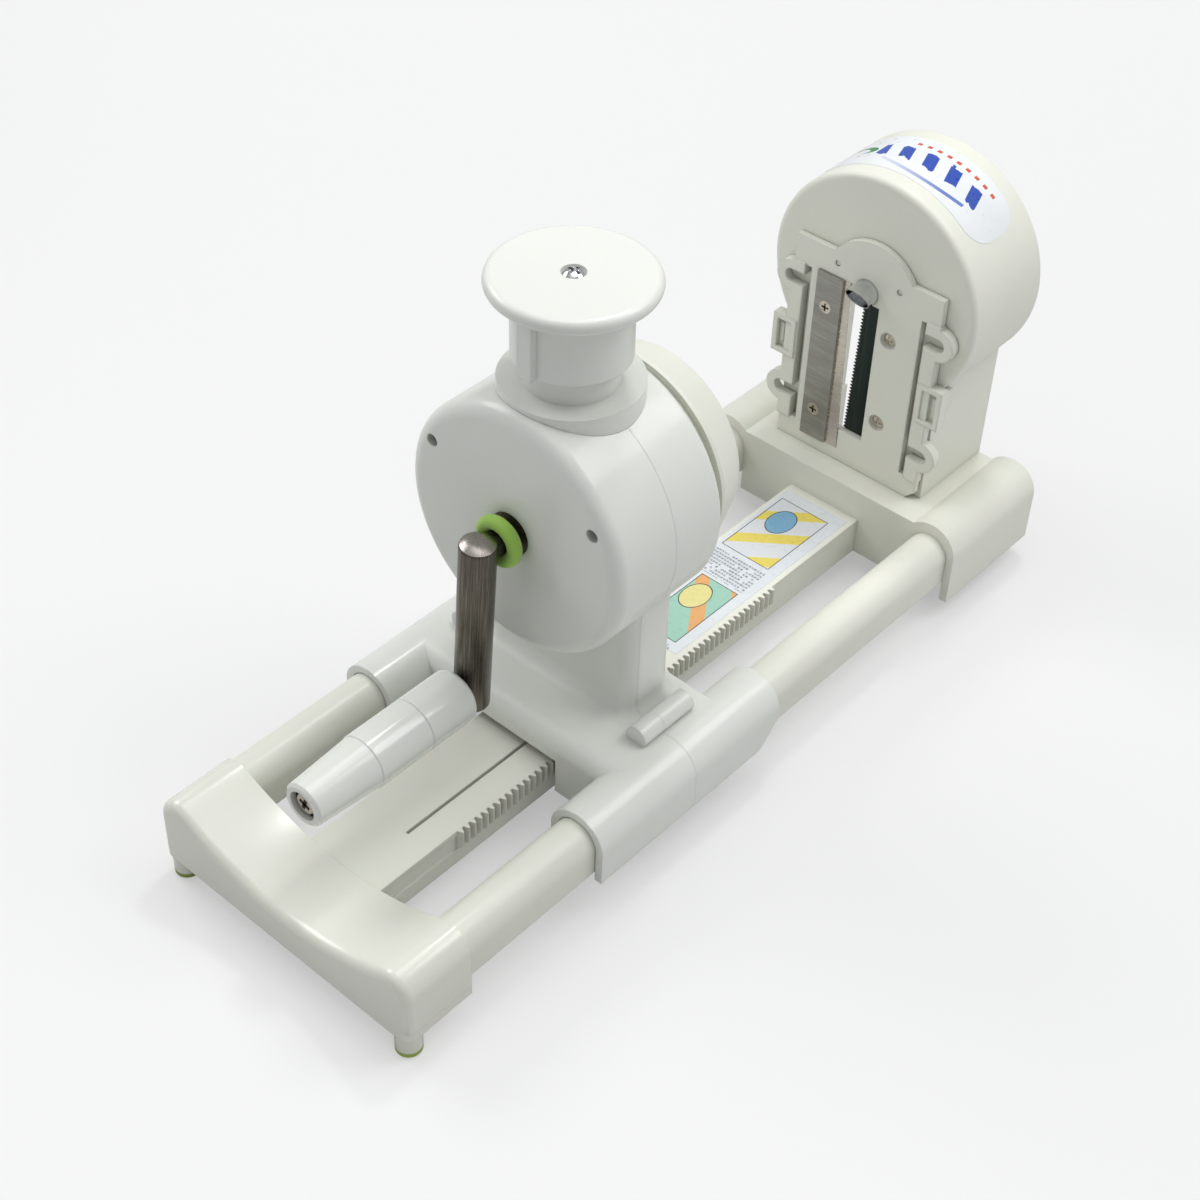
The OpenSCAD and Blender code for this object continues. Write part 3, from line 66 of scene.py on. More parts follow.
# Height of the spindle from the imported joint, and the lean and throw that the crank was built with
SPINDLE_Z = next(joint["pos_m"][2] for joint in frame["joints"] if joint["name"] == "crank_spin")
CRANK_LEAN = math.radians(3.4)
GRIP_THROW = 70 * MM

# Name, place, width and power of each lamp
LAMPS = (
    ("softbox_middle", (0.0, 0.12, 1.1), 0.7, 2.2),
    ("softbox_left", (-0.9, -0.2, 0.8), 0.7, 5.4),
    ("softbox_right", (0.55, 0.55, 1.0), 0.7, 5.0),
    ("softbox_front", (0.0, -0.24, 1.1), 0.7, 0.4),
    ("streak", (-0.18, 0.62, 1.50), 0.22, 3.8),
)
# Light of the sky on the object, and the white that the camera sees around it
SKY = 0.44
WHITE = 0.93


def tinted(colour, share):
    """A colour scaled by a share, held within what a surface can be."""
    return tuple(min(1.0, share * part) for part in colour)


class Finish:
    """A material in the making: a shader, its object coordinates, and short ways to add nodes."""

    def __init__(self, name, rough, metal=0.0):
        self.material = bpy.data.materials.new(name)
        self.material.use_nodes = True
        self.tree = self.material.node_tree
        self.shader = self.tree.nodes["Principled BSDF"]
        self.shader.inputs["Roughness"].default_value = rough
        self.shader.inputs["Metallic"].default_value = metal
        self.place = self.add("ShaderNodeTexCoord").outputs["Object"]

    def add(self, kind, **settings):
        """Adds a node of one kind with its settings."""
        node = self.tree.nodes.new(kind)
        for key, value in settings.items():
            setattr(node, key, value)
        return node

    def link(self, value, socket):
        """Joins an output to a socket, or writes a plain value on it."""
        if isinstance(value, bpy.types.NodeSocket):
            self.tree.links.new(value, socket)
        elif isinstance(value, tuple) and len(value) == 3 and socket.type == "RGBA":
            socket.default_value = (*value, 1)
        else:
            socket.default_value = value

    def put(self, **sockets):
        """Sets or joins sockets of the shader; an underscore stands for a space."""
        for key, value in sockets.items():
            self.link(value, self.shader.inputs[key.replace("_", " ")])

    def math(self, operation, first, second=0.0, third=0.0):
        """Works out one sum of up to three values."""
        node = self.add("ShaderNodeMath", operation=operation)
        for value, socket in zip((first, second, third), node.inputs):
            self.link(value, socket)
        return node.outputs[0]

    def axes(self, place=None):
        """The three parts of a place, of the object's own coordinates unless one is given."""
        node = self.add("ShaderNodeSeparateXYZ")
        self.link(place or self.place, node.inputs[0])
        return node.outputs

    def mapped(self, turn=(0, 0, 0), scale=(1, 1, 1), shift=(0, 0, 0), place=None):
        """Coordinates shifted first, then turned and stretched."""
        node = self.add("ShaderNodeMapping", vector_type="POINT")
        moved = self.add("ShaderNodeVectorMath", operation="SUBTRACT")
        self.link(place or self.place, moved.inputs[0])
        moved.inputs[1].default_value = shift
        self.link(moved.outputs[0], node.inputs["Vector"])
        node.inputs["Rotation"].default_value = turn
        node.inputs["Scale"].default_value = scale
        return node.outputs[0]

    def length(self, place):
        """How far a place lies from the origin."""
        node = self.add("ShaderNodeVectorMath", operation="LENGTH")
        self.link(place, node.inputs[0])
        return node.outputs["Value"]

    def noise(self, scale, detail=3.0, rough=0.5, place=None, distortion=0.0):
        """Soft noise from nought to one, about a half on the whole."""
        node = self.add("ShaderNodeTexNoise")
        self.link(place or self.place, node.inputs["Vector"])
        node.inputs["Scale"].default_value = scale
        node.inputs["Detail"].default_value = detail
        node.inputs["Roughness"].default_value = rough
        node.inputs["Distortion"].default_value = distortion
        return node.outputs["Fac"]

    def spread(self, value, low, high, to_low=0.0, to_high=1.0):
        """Maps a value from one range to another, held within it."""
        node = self.add("ShaderNodeMapRange")
        for number, socket in zip((value, low, high, to_low, to_high), node.inputs):
            self.link(number, socket)
        return node.outputs[0]

    def mix(self, factor, first, second, blend="MIX"):
        """Blends two colours: the first at nought, the second at one."""
        node = self.add("ShaderNodeMix", data_type="RGBA", blend_type=blend)
        factor_in, first_in, second_in = (node.inputs[index] for index in (0, 6, 7))
        self.link(factor, factor_in)
        self.link(first, first_in)
        self.link(second, second_in)
        return node.outputs[2]

    def within(self, value, low, high):
        """One between low and high, and nought elsewhere."""
        above = self.math("GREATER_THAN", value, low)
        below = self.math("LESS_THAN", value, high)
        return self.math("MULTIPLY", above, below)

    def in_box(self, x, y, box):
        """One inside a box of least X, most X, least Y and most Y, and nought elsewhere."""
        left, right, near, far = box
        return self.both(self.within(x, left, right), self.within(y, near, far))

    def either(self, *masks):
        """One where any of the masks is one."""
        total = masks[0]
        for mask in masks[1:]:
            total = self.math("MAXIMUM", total, mask)
        return total

    def both(self, *masks):
        """One where all of the masks are one."""
        total = masks[0]
        for mask in masks[1:]:
            total = self.math("MULTIPLY", total, mask)
        return total

    def bump(self, height, strength, depth, normal=None):
        """Normals roughened by a height, on top of the given ones if there are any."""
        node = self.add("ShaderNodeBump")
        self.link(height, node.inputs["Height"])
        node.inputs["Strength"].default_value = strength
        node.inputs["Distance"].default_value = depth
        if normal is not None:
            self.link(normal, node.inputs["Normal"])
        return node.outputs[0]

    def soft_edges(self, radius):
        """Normals that round every hard edge by a radius."""
        node = self.add("ShaderNodeBevel", samples=6)
        node.inputs["Radius"].default_value = radius
        return node.outputs[0]

    def worn_edges(self, radius, most):
        """Up to a share on edges, where a rounded normal leaves the plain one, nought on flats."""
        flat, edge = 0.995, 0.85
        plain = self.add("ShaderNodeNewGeometry").outputs["Normal"]
        likeness = self.add("ShaderNodeVectorMath", operation="DOT_PRODUCT")
        self.link(self.soft_edges(radius), likeness.inputs[0])
        self.link(plain, likeness.inputs[1])
        return self.spread(likeness.outputs["Value"], flat, edge, 0.0, most)

    def hollows(self, reach, low, high, most, alone=False):
        """Up to a share in hollows narrower than a reach, and nought on open faces."""
        node = self.add("ShaderNodeAmbientOcclusion", samples=4, only_local=alone)
        node.inputs["Distance"].default_value = reach
        return self.spread(node.outputs["AO"], low, high, most, 0.0)


def moulded_plastic(name, base, pale_share, deep_share, rough, grain, edge, coat):
    """Moulded plastic: slow colour drift, mould grain, rubbed edges, faint scuffs, and painted shade
    darkening its hollows.
    """
    pale, deep = tinted(base, pale_share), tinted(base, deep_share)
    grime, painted_hollow_shade, rubbed = tinted(deep, 0.90), tinted(deep, 0.42), tinted(pale, 1.03)
    scuff_turn, scuff_stretch, scuff_height = (0.3, 0.2, 0.5), (1, 0.06, 1), 0.04
    finish = Finish(name, rough)
    drift = finish.noise(scale=9.0, detail=2.0)
    fine = finish.noise(scale=1900.0, detail=2.0, rough=0.6)
    cloud = finish.noise(scale=60.0, detail=4.0, rough=0.6)
    scuff = finish.noise(
        scale=420.0, detail=3.0, rough=0.7, place=finish.mapped(turn=scuff_turn, scale=scuff_stretch))
    colour = finish.mix(finish.spread(drift, 0.3, 0.7), deep, pale)
    speck = finish.mix(finish.spread(fine, 0.35, 0.65, 0.0, 0.5), colour, deep, "MULTIPLY")
    colour = finish.mix(0.10, colour, speck)
    colour = finish.mix(finish.spread(cloud, 0.45, 0.85, 0.0, 0.04), colour, grime)
    # Painted shade: the colour darkens in hollows and where parts meet, standing in for contact shadow.
    colour = finish.mix(finish.hollows(9 * MM, 0.15, 0.72, 0.55), colour, painted_hollow_shade)
    colour = finish.mix(finish.worn_edges(edge, 0.15), colour, rubbed)
    height = finish.math(
        "ADD", finish.math("MULTIPLY", fine, grain), finish.math("MULTIPLY", scuff, scuff_height))
    shine = finish.math("ADD", finish.spread(scuff, 0.6, 0.8, 0.0, 0.04), rough)
    shine = finish.math("ADD", shine, finish.spread(cloud, 0.3, 0.7, -0.03, 0.04))
    finish.put(Base_Color=colour, Roughness=shine)
    finish.put(Normal=finish.bump(height, 0.30, 0.12 * MM, finish.soft_edges(edge)))
    finish.put(Coat_Weight=coat, Coat_Roughness=0.12, Specular_IOR_Level=0.5)
    finish.put(Subsurface_Weight=0.06, Subsurface_Scale=2 * MM)
    return finish.material


def soft_rubber(name, pale, deep):
    """Soft silicone: even colour and a fine matt skin."""
    edge, skin = 0.4 * MM, 0.1 * MM
    finish = Finish(name, rough=0.55)
    drift = finish.noise(scale=40.0)
    fine = finish.noise(scale=2600.0, detail=2.0)
    colour = finish.mix(finish.spread(drift, 0.35, 0.65), deep, pale)
    finish.put(Base_Color=colour, Roughness=finish.spread(fine, 0.3, 0.7, 0.46, 0.62))
    finish.put(Normal=finish.bump(fine, 0.25, skin, finish.soft_edges(edge)))
    finish.put(Subsurface_Weight=0.25, Subsurface_Scale=4 * MM, Sheen_Weight=0.15)
    return finish.material


def brushed_metal(name, pale, deep, rough, grain, stretch=(1, 1, 0.02)):
    """Metal with long grinding marks along one direction, darker streaks and bright edges."""
    edge, mark_depth = 0.3 * MM, 0.06 * MM
    bright = tinted(pale, 1.5)
    finish = Finish(name, rough, metal=1.0)
    lay = finish.mapped(scale=stretch)
    marks = finish.noise(scale=grain, detail=5.0, rough=0.7, place=lay)
    broad = finish.noise(scale=grain / 9, detail=2.0, place=lay)
    stain = finish.noise(scale=45.0, detail=4.0, rough=0.6)
    colour = finish.mix(finish.spread(marks, 0.3, 0.7), deep, pale)
    colour = finish.mix(finish.spread(broad, 0.42, 0.62, 0.0, 0.55), colour, deep)
    colour = finish.mix(finish.spread(stain, 0.55, 0.8, 0.0, 0.25), colour, deep)
    colour = finish.mix(finish.worn_edges(edge, 0.6), colour, bright)
    finish.put(Base_Color=colour, Roughness=finish.spread(marks, 0.25, 0.75, rough - 0.08, rough + 0.14))
    finish.put(Normal=finish.bump(marks, 0.35, mark_depth, finish.soft_edges(edge)))
    finish.put(Anisotropic=0.5)
    return finish.material


def polished_metal(name, pale, deep, rough):
    """Bright plated metal with faint polishing swirls, a little haze, and painted shade in its slots and
    hollows.
    """
    edge, swirl_depth = 0.2 * MM, 0.04 * MM
    slot_reach, slot_painted_shade = 1.4 * MM, (0.02, 0.018, 0.015)
    finish = Finish(name, rough, metal=1.0)
    swirl = finish.noise(scale=700.0, detail=4.0, rough=0.6, distortion=1.5)
    haze = finish.noise(scale=120.0)
    colour = finish.mix(finish.spread(haze, 0.35, 0.7), pale, deep)
    # Painted shade: screw slots, tube bores and other narrow hollows are coloured near black.
    colour = finish.mix(finish.hollows(slot_reach, 0.35, 0.85, 1.0, alone=True), colour, slot_painted_shade)
    finish.put(Base_Color=colour, Roughness=finish.spread(haze, 0.3, 0.7, rough - 0.03, rough + 0.08))
    finish.put(Normal=finish.bump(swirl, 0.08, swirl_depth, finish.soft_edges(edge)))
    return finish.material


def oiled_bronze(name, pale, deep):
    """Sintered bronze: speckled, dark with oil in its pores."""
    edge, pore_depth = 0.3 * MM, 0.08 * MM
    finish = Finish(name, rough=0.42, metal=1.0)
    pores = finish.noise(scale=1500.0, detail=4.0, rough=0.7)
    oil = finish.noise(scale=90.0)
    colour = finish.mix(finish.spread(pores, 0.35, 0.6), deep, pale)
    colour = finish.mix(finish.spread(oil, 0.45, 0.7, 0.0, 0.5), colour, deep)
    finish.put(Base_Color=colour, Roughness=finish.spread(pores, 0.3, 0.7, 0.34, 0.55))
    finish.put(Normal=finish.bump(pores, 0.3, pore_depth, finish.soft_edges(edge)))
    return finish.material


def crank_rod_steel(name, middle_y, shoulder_z):
    """Dark brushed steel: streaks along the rod, and rays from the middle of its top, whose lighter colour
    is partly a painted highlight.
    """
    pale, deep, ray_and_highlight = (0.30, 0.27, 0.225), (0.045, 0.039, 0.031), (0.50, 0.46, 0.43)
    around, along, mark_depth = 0.03, 0.03, 0.08 * MM
    finish = Finish(name, rough=0.3, metal=1.0)
    upright = finish.mapped(turn=(0, -CRANK_LEAN, 0), shift=(0, middle_y, SPINDLE_Z))
    x, y, z = finish.axes(upright)
    lay = finish.add("ShaderNodeCombineXYZ")
    finish.link(finish.math("MULTIPLY", finish.math("ARCTAN2", y, x), around), lay.inputs[0])
    finish.link(finish.math("MULTIPLY", z, along), lay.inputs[2])
    streak = finish.noise(scale=1400.0, detail=6.0, rough=0.65, place=lay.outputs[0])
    broad = finish.noise(scale=220.0, rough=0.55, place=lay.outputs[0])
    fine = finish.noise(scale=4200.0, detail=2.0, rough=0.6)
    colour = finish.mix(finish.spread(streak, 0.36, 0.64), deep, pale)
    colour = finish.mix(finish.spread(broad, 0.38, 0.62, 0.0, 0.65), colour, tinted(deep, 1.5))
    on_top = finish.math("GREATER_THAN", z, shoulder_z - SPINDLE_Z)
    # Partly painted highlight: the radially brushed top is coloured much lighter than the rod's sides.
    colour = finish.mix(finish.both(on_top, finish.spread(streak, 0.3, 0.7, 0.35, 0.9)), colour, ray_and_highlight)
    finish.put(Base_Color=colour, Roughness=finish.spread(streak, 0.3, 0.7, 0.18, 0.34))
    height = finish.math("ADD", streak, finish.math("MULTIPLY", fine, 0.25))
    finish.put(Normal=finish.bump(height, 0.35, mark_depth), Anisotropic=0.4)
    return finish.material


def glossy_print(finish, colour, rough_low, rough_high, coat):
    """Closes a printed sheet: faint ripples and a thin gloss over its print."""
    ripple = 0.1 * MM
    finish.put(Base_Color=colour)
    finish.put(Roughness=finish.spread(finish.noise(scale=300.0), 0.3, 0.7, rough_low, rough_high))
    finish.put(Normal=finish.bump(finish.noise(scale=500.0), 0.05, ripple), Coat_Weight=coat)
    return finish.material


# Boxes of the bar's sheet, each as least X, most X, least Y and most Y in millimetres
DASH_BOXES_MM = ((-16.5, 12.5, 60.0, 78.0), (-16.5, -10.5, 15.0, 56.0), (-16.5, 12.5, 3.0, 11.5))
REAR_PICTURE_MM = (-16.1, 11.3, 80.7, 126.4)
FRONT_PICTURE_MM = (-9.0, 12.0, 14.4, 58.2)


def dash_rows(finish, x, y):
    """Mask of the sheet's rows of short grey dashes, which spell nothing."""
    pitch_x, pitch_y = 1.6 * MM, 2.1 * MM
    gap_chance = 0.22
    cells = finish.mapped(scale=(1 / pitch_x, 1 / pitch_y, 1))
    cell = finish.add("ShaderNodeVectorMath", operation="FLOOR")
    finish.link(cells, cell.inputs[0])
    part = finish.add("ShaderNodeVectorMath", operation="FRACTION")
    finish.link(cells, part.inputs[0])
    chance = finish.add("ShaderNodeTexWhiteNoise", noise_dimensions="2D")
    finish.link(cell.outputs[0], chance.inputs["Vector"])
    across, along, _ = finish.axes(part.outputs[0])
    stroke = finish.math("GREATER_THAN", finish.noise(scale=2600.0, detail=1.0), 0.47)
    dash = finish.both(
        finish.within(across, 0.1, 0.9), finish.within(along, 0.2, 0.8),
        finish.math("GREATER_THAN", chance.outputs["Value"], gap_chance), stroke)
    boxes = [tuple(side * MM for side in box) for box in DASH_BOXES_MM]
    return finish.both(dash, finish.either(*(finish.in_box(x, y, box) for box in boxes)))


def framed_picture(finish, colour, x, y, box_mm, field, band, patch, turn):
    """Lays one framed picture over a sheet: slanted bands on a field, and an oval patch."""
    frame_line, ring_line = 0.4 * MM, 0.4 * MM
    band_pitch, band_level = 17 * MM, 0.35
    patch_radius, patch_squash = 6.2 * MM, 0.7
    patch_x, patch_y = -3 * MM, 8 * MM
    frame_ink, ring_ink = (0.03, 0.03, 0.04), (0.05, 0.05, 0.06)
    left, right, near, far = (side * MM for side in box_mm)
    centre_x, centre_y = (left + right) / 2, (near + far) / 2
    outer = finish.in_box(x, y, (left, right, near, far))
    inner = finish.in_box(
        x, y, (left + frame_line, right - frame_line, near + frame_line, far - frame_line))
    slanted, _, _ = finish.axes(finish.mapped(turn=(0, 0, turn), shift=(centre_x, centre_y, 0)))
    wave = finish.math("SINE", finish.math("MULTIPLY", slanted, 2 * math.pi / band_pitch))
    reach = finish.length(finish.mapped(
        shift=(centre_x + patch_x, centre_y + patch_y, 0), scale=(1, patch_squash, 0)))
    picture = finish.mix(finish.math("GREATER_THAN", wave, band_level), field, band)
    picture = finish.mix(finish.math("LESS_THAN", reach, patch_radius), picture, patch)
    ring = finish.within(reach, patch_radius, patch_radius + ring_line)
    picture = finish.mix(ring, picture, ring_ink)
    colour = finish.mix(outer, colour, frame_ink)
    return finish.mix(inner, colour, picture)


def bar_sheet(name):
    """Printed sheet of the middle bar: two plain framed pictures and rows of grey dashes."""
    paper, white, ink = (0.70, 0.74, 0.78), (0.77, 0.80, 0.83), (0.16, 0.18, 0.22)
    finish = Finish(name, rough=0.3)
    x, y, _ = finish.axes()
    colour = finish.mix(finish.spread(finish.noise(scale=30.0), 0.3, 0.7), paper, white)
    colour = finish.mix(dash_rows(finish, x, y), colour, ink)
    colour = framed_picture(
        finish, colour, x, y, REAR_PICTURE_MM,
        field=(0.72, 0.74, 0.76), band=(0.80, 0.66, 0.13), patch=(0.20, 0.42, 0.60), turn=0.9)
    colour = framed_picture(
        finish, colour, x, y, FRONT_PICTURE_MM,
        field=(0.36, 0.62, 0.50), band=(0.80, 0.42, 0.16), patch=(0.78, 0.72, 0.30), turn=-0.6)
    return glossy_print(finish, colour, 0.24, 0.36, coat=0.3)


def blue_bars(finish, u, v, chart):
    """Mask of the row of slanted bars with uneven ends."""
    pitch, slant, middle = 12.5 * MM, 0.35, 1 * MM
    shortest, longest = 3.8 * MM, 6.8 * MM
    start, end = -22 * MM, 34 * MM
    leaning = finish.math("ADD", u, finish.math("MULTIPLY", v, slant))
    step = finish.math("FRACT", finish.math("DIVIDE", leaning, pitch))
    wobble = finish.noise(scale=180.0, detail=2.0, place=chart)
    reach = finish.spread(wobble, 0.35, 0.65, shortest, longest)
    away = finish.math("ABSOLUTE", finish.math("SUBTRACT", v, middle))
    return finish.both(
        finish.within(step, 0.12, 0.62), finish.math("LESS_THAN", away, reach),
        finish.within(u, start, end))


def blue_sweep(finish, u, v):
    """Mask of the thin curved line under the bars, fading towards one end."""
    lowest, middle, bend, width = -13.5 * MM, 8 * MM, 9.0, 2.2 * MM
    start, end, full = -16 * MM, 30 * MM, 20 * MM
    away = finish.math("ABSOLUTE", finish.math("SUBTRACT", u, middle))
    rise = finish.math("MULTIPLY", finish.math("POWER", away, 2.0), bend)
    low_edge = finish.math("ADD", lowest, rise)
    line = finish.both(
        finish.math("GREATER_THAN", v, low_edge),
        finish.math("LESS_THAN", v, finish.math("ADD", low_edge, width)),
        finish.within(u, start, end))
    return finish.both(line, finish.spread(u, start, full, 0.15, 0.9))


def green_leaf(finish, chart):
    """Mask of the crescent at the row's end: an oval less a smaller one beside it."""
    turn, squash = (0, 0, 0.35), (0.45, 1, 0)
    leaf_place, leaf_radius = (-34 * MM, 0.0, 0), 4.8 * MM
    hole_place, hole_radius = (-36 * MM, -1.2 * MM, 0), 4.0 * MM
    leaf = finish.length(finish.mapped(turn=turn, shift=leaf_place, scale=squash, place=chart))
    hole = finish.length(finish.mapped(turn=turn, shift=hole_place, scale=squash, place=chart))
    return finish.both(
        finish.math("LESS_THAN", leaf, leaf_radius), finish.math("GREATER_THAN", hole, hole_radius))


def red_dots(finish, u, v):
    """Mask of the row of small dots over the bars."""
    pitch, low, high = 5.2 * MM, 9.6 * MM, 11.6 * MM
    start, end = -12 * MM, 36 * MM
    spot = finish.math("FRACT", finish.math("DIVIDE", u, pitch))
    return finish.both(
        finish.within(spot, 0.25, 0.7), finish.within(v, low, high), finish.within(u, start, end))


def drum_print(name):
    """Printed sheet of the drum: slanted blue bars over a curved line, a green leaf and red dots."""
    paper, white = (0.78, 0.81, 0.83), (0.84, 0.86, 0.87)
    finish = Finish(name, rough=0.3)
    chart = finish.add("ShaderNodeUVMap", uv_map="UVMap").outputs[0]
    u, v, _ = finish.axes(chart)
    colour = finish.mix(finish.spread(finish.noise(scale=40.0), 0.3, 0.7), paper, white)
    colour = finish.mix(blue_bars(finish, u, v, chart), colour, (0.02, 0.07, 0.42))
    colour = finish.mix(blue_sweep(finish, u, v), colour, (0.05, 0.14, 0.52))
    colour = finish.mix(green_leaf(finish, chart), colour, (0.03, 0.26, 0.09))
    colour = finish.mix(red_dots(finish, u, v), colour, (0.62, 0.10, 0.05))
    return glossy_print(finish, colour, 0.26, 0.4, coat=0.25)


def dress(material, *names):
    """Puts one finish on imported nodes."""
    for name in names:
        for slot in frame["nodes"][name].material_slots:
            slot.material = material


def finished_piece(name, shape, material, body, replaced):
    """Turns a bmesh into an object at the origin, with its finish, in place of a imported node."""
    crease = math.radians(38)
    mesh = bpy.data.meshes.new(name)
    shape.to_mesh(mesh)
    shape.free()
    mesh.shade_smooth()
    mesh.set_sharp_from_angle(angle=crease)
    mesh.materials.append(material)
    piece = bpy.data.objects.new(name, mesh)
    bpy.context.scene.collection.objects.link(piece)
    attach(piece, body)
    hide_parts(replaced)
    return piece


def node_box(node):
    """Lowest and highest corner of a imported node."""
    low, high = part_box(node)
    return Vector(low), Vector(high)


class SpiralizerColours(bpy.types.PropertyGroup):
    """Colours that a user would change."""

    shell: bpy.props.FloatVectorProperty(
        name="Shells", description="Cool off-white of the carriage, the knob and the grip",
        subtype="COLOR", default=(0.81, 0.825, 0.775), min=0, max=1)
    ivory: bpy.props.FloatVectorProperty(
        name="Rails and tower", description="Warm ivory of the blocks, rails, bar, tower and disc",
        subtype="COLOR", default=(0.80, 0.805, 0.72), min=0, max=1)
    soft: bpy.props.FloatVectorProperty(
        name="Soft ring", description="Lime green of the ring on the spindle",
        subtype="COLOR", default=(0.36, 0.62, 0.10), min=0, max=1)


class SpiralizerSizes(bpy.types.PropertyGroup):
    """Sizes of the pieces that are modelled here."""

    arm_radius: bpy.props.FloatProperty(
        name="Crank rod radius", description="Half the diameter of the crank arm's rod",
        default=7.5 * MM, min=6 * MM, max=9 * MM, unit="LENGTH")
    arm_dome: bpy.props.FloatProperty(
        name="Crank rod dome", description="Rise of the domed top of the crank rod",
        default=1.1 * MM, min=0.2 * MM, max=3 * MM, unit="LENGTH")
    block_edge: bpy.props.FloatProperty(
        name="Front block edge", description="Radius of the outer edges of the front block",
        default=4.2 * MM, min=1 * MM, max=6 * MM, unit="LENGTH")
    label_corner: bpy.props.FloatProperty(
        name="Label corner", description="Radius of the round corners of the drum's sheet",
        default=13 * MM, min=2 * MM, max=16 * MM, unit="LENGTH")


class SPIRALIZER_OT_finishes(bpy.types.Operator):
    """Puts plastics, rubber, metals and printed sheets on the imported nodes"""

    bl_idname = "spiralizer.finishes"
    bl_label = "Finishes of the packed nodes"

    def execute(self, context):
        self.dress_plastics(context.scene.spiralizer_colours)
        self.dress_soft_parts(context.scene.spiralizer_colours)
        self.dress_blades_and_screws()
        self.dress_drive()
        dress(bar_sheet("bar_print"), "instruction_sticker")
        return {"FINISHED"}

    def dress_plastics(self, colours):
        """Smooth shells, glossy grip, satin rails and tower, and the blade plate's soft edges."""
        dress(
            moulded_plastic(
                "shell_plastic_gloss", colours.shell, 1.02, 0.98, rough=0.36, grain=0.5, edge=0.8 * MM,
                coat=0.35),
            "carriage_front_shell", "carriage_rear_shell", "knob_turret", "knob_cap", "front_block")
        dress(
            moulded_plastic(
                "grip_plastic_gloss", colours.shell, 1.02, 0.97, rough=0.19, grain=0.4, edge=0.5 * MM,
                coat=0.4),
            "grip_root", "grip_band", "grip_end")
        dress(
            moulded_plastic(
                "ivory_plastic_satin", colours.ivory, 1.03, 0.96, rough=0.42, grain=0.9, edge=0.6 * MM,
                coat=0.08),
            "left_rail", "right_rail", "centre_rack_bar", "rear_block", "blade_tower", "spiked_disc")
        dress(
            moulded_plastic(
                "ivory_plastic_soft", colours.ivory, 1.03, 0.97, rough=0.40, grain=0.9, edge=1.3 * MM,
                coat=0.08),
            "blade_plate")

    def dress_soft_parts(self, colours):
        """Lime ring on the spindle, and duller green pads under the feet."""
        ring = soft_rubber("lime_silicone", tinted(colours.soft, 1.08), tinted(colours.soft, 0.9))
        dress(ring, "shaft_ring")
        pads = soft_rubber("foot_silicone", (0.42, 0.54, 0.09), (0.26, 0.36, 0.06))
        dress(pads, "front_foot_pads", "rear_foot_pads")

    def dress_blades_and_screws(self):
        """Brushed clamp, ground blade, dark comb, and plated tube, spikes and screws."""
        across = (0.05, 1, 1)
        dress(
            brushed_metal(
                "clamp_brushed_steel", (0.46, 0.45, 0.42), (0.28, 0.275, 0.25), rough=0.36,
                grain=1500.0, stretch=across),
            "blade_clamp")
        dress(
            brushed_metal(
                "flat_blade_ground_steel", (0.72, 0.665, 0.61), (0.56, 0.515, 0.47), rough=0.22,
                grain=1800.0, stretch=across),
            "flat_blade")
        dress(
            brushed_metal(
                "comb_dark_steel", (0.055, 0.07, 0.065), (0.022, 0.03, 0.028), rough=0.35,
                grain=900.0),
            "comb_blade")
        dress(
            polished_metal("bright_plated_steel", (0.78, 0.79, 0.78), (0.60, 0.61, 0.62), rough=0.12),
            "shell_screws", "disc_spikes", "disc_screw")
        dress(
            polished_metal("tube_chrome", (0.78, 0.79, 0.80), (0.55, 0.56, 0.57), rough=0.10),
            "coring_tube", "knob_screw")
        dress(
            polished_metal("screw_nickel", (0.72, 0.66, 0.56), (0.48, 0.43, 0.35), rough=0.24),
            "blade_screws", "comb_screws", "grip_screw")

    def dress_drive(self):
        """Turned steel and bronze of the pieces that run inside, and the dark spindle."""
        dress(
            brushed_metal(
                "turned_steel", (0.55, 0.55, 0.54), (0.38, 0.38, 0.38), rough=0.32, grain=900.0),
            "worm", "thrust_washers", "grip_axle", "plunger_fork", "knob_spring", "feed_shaft",
            "rack_pinion", "clutch_sleeve")
        dress(
            brushed_metal(
                "spindle_dark_steel", (0.16, 0.14, 0.13), (0.06, 0.05, 0.05), rough=0.3,
                grain=900.0, stretch=(1, 0.05, 1)),
            "spindle_shaft")
        dress(
            oiled_bronze("bush_bronze", (0.20, 0.17, 0.10), (0.07, 0.06, 0.035)),
            "front_spindle_bush", "rear_spindle_bush", "feed_shaft_bushes", "worm_wheel")


def block_outline(inset):
    """Outline of the front block in X and Z, closed along its bottom, drawn in by an inset.

    Two round horns stand at the sides, with a round valley between them. The inset makes the
    horns smaller and the valley wider.
    """
    horn_radius, horn_x, horn_z = 10.7 * MM, 59.3 * MM, 34 * MM
    valley_radius, valley_low = 119 * MM, 29.5 * MM
    bottom, melt = 11.5 * MM, 1.1 * MM
    seam_rise, seam_depth = 4.2 * MM, 0.22 * MM
    steps = 72
    valley_z = valley_low + valley_radius
    horn = horn_radius - inset
    valley = valley_radius + inset
    half = horn_x + horn
    seam_z = bottom + seam_rise
    side = [
        (half, bottom), (half, seam_z - seam_depth), (half - seam_depth, seam_z),
        (half, seam_z + seam_depth)]
    top = []
    for index in range(steps + 1):
        x = -half * math.cos(math.pi * index / steps)
        over = max(0.0, abs(x) - horn_x)
        shoulder = horn_z + math.sqrt(max(0.0, horn * horn - over * over))
        dip = valley_z - math.sqrt(valley * valley - x * x)
        blend = max(0.0, 1 - abs(shoulder - dip) / (3 * melt))
        top.append((x, min(shoulder, dip) - 0.5 * melt * blend * blend))
    return [(-x, z) for x, z in side] + top + side[::-1]


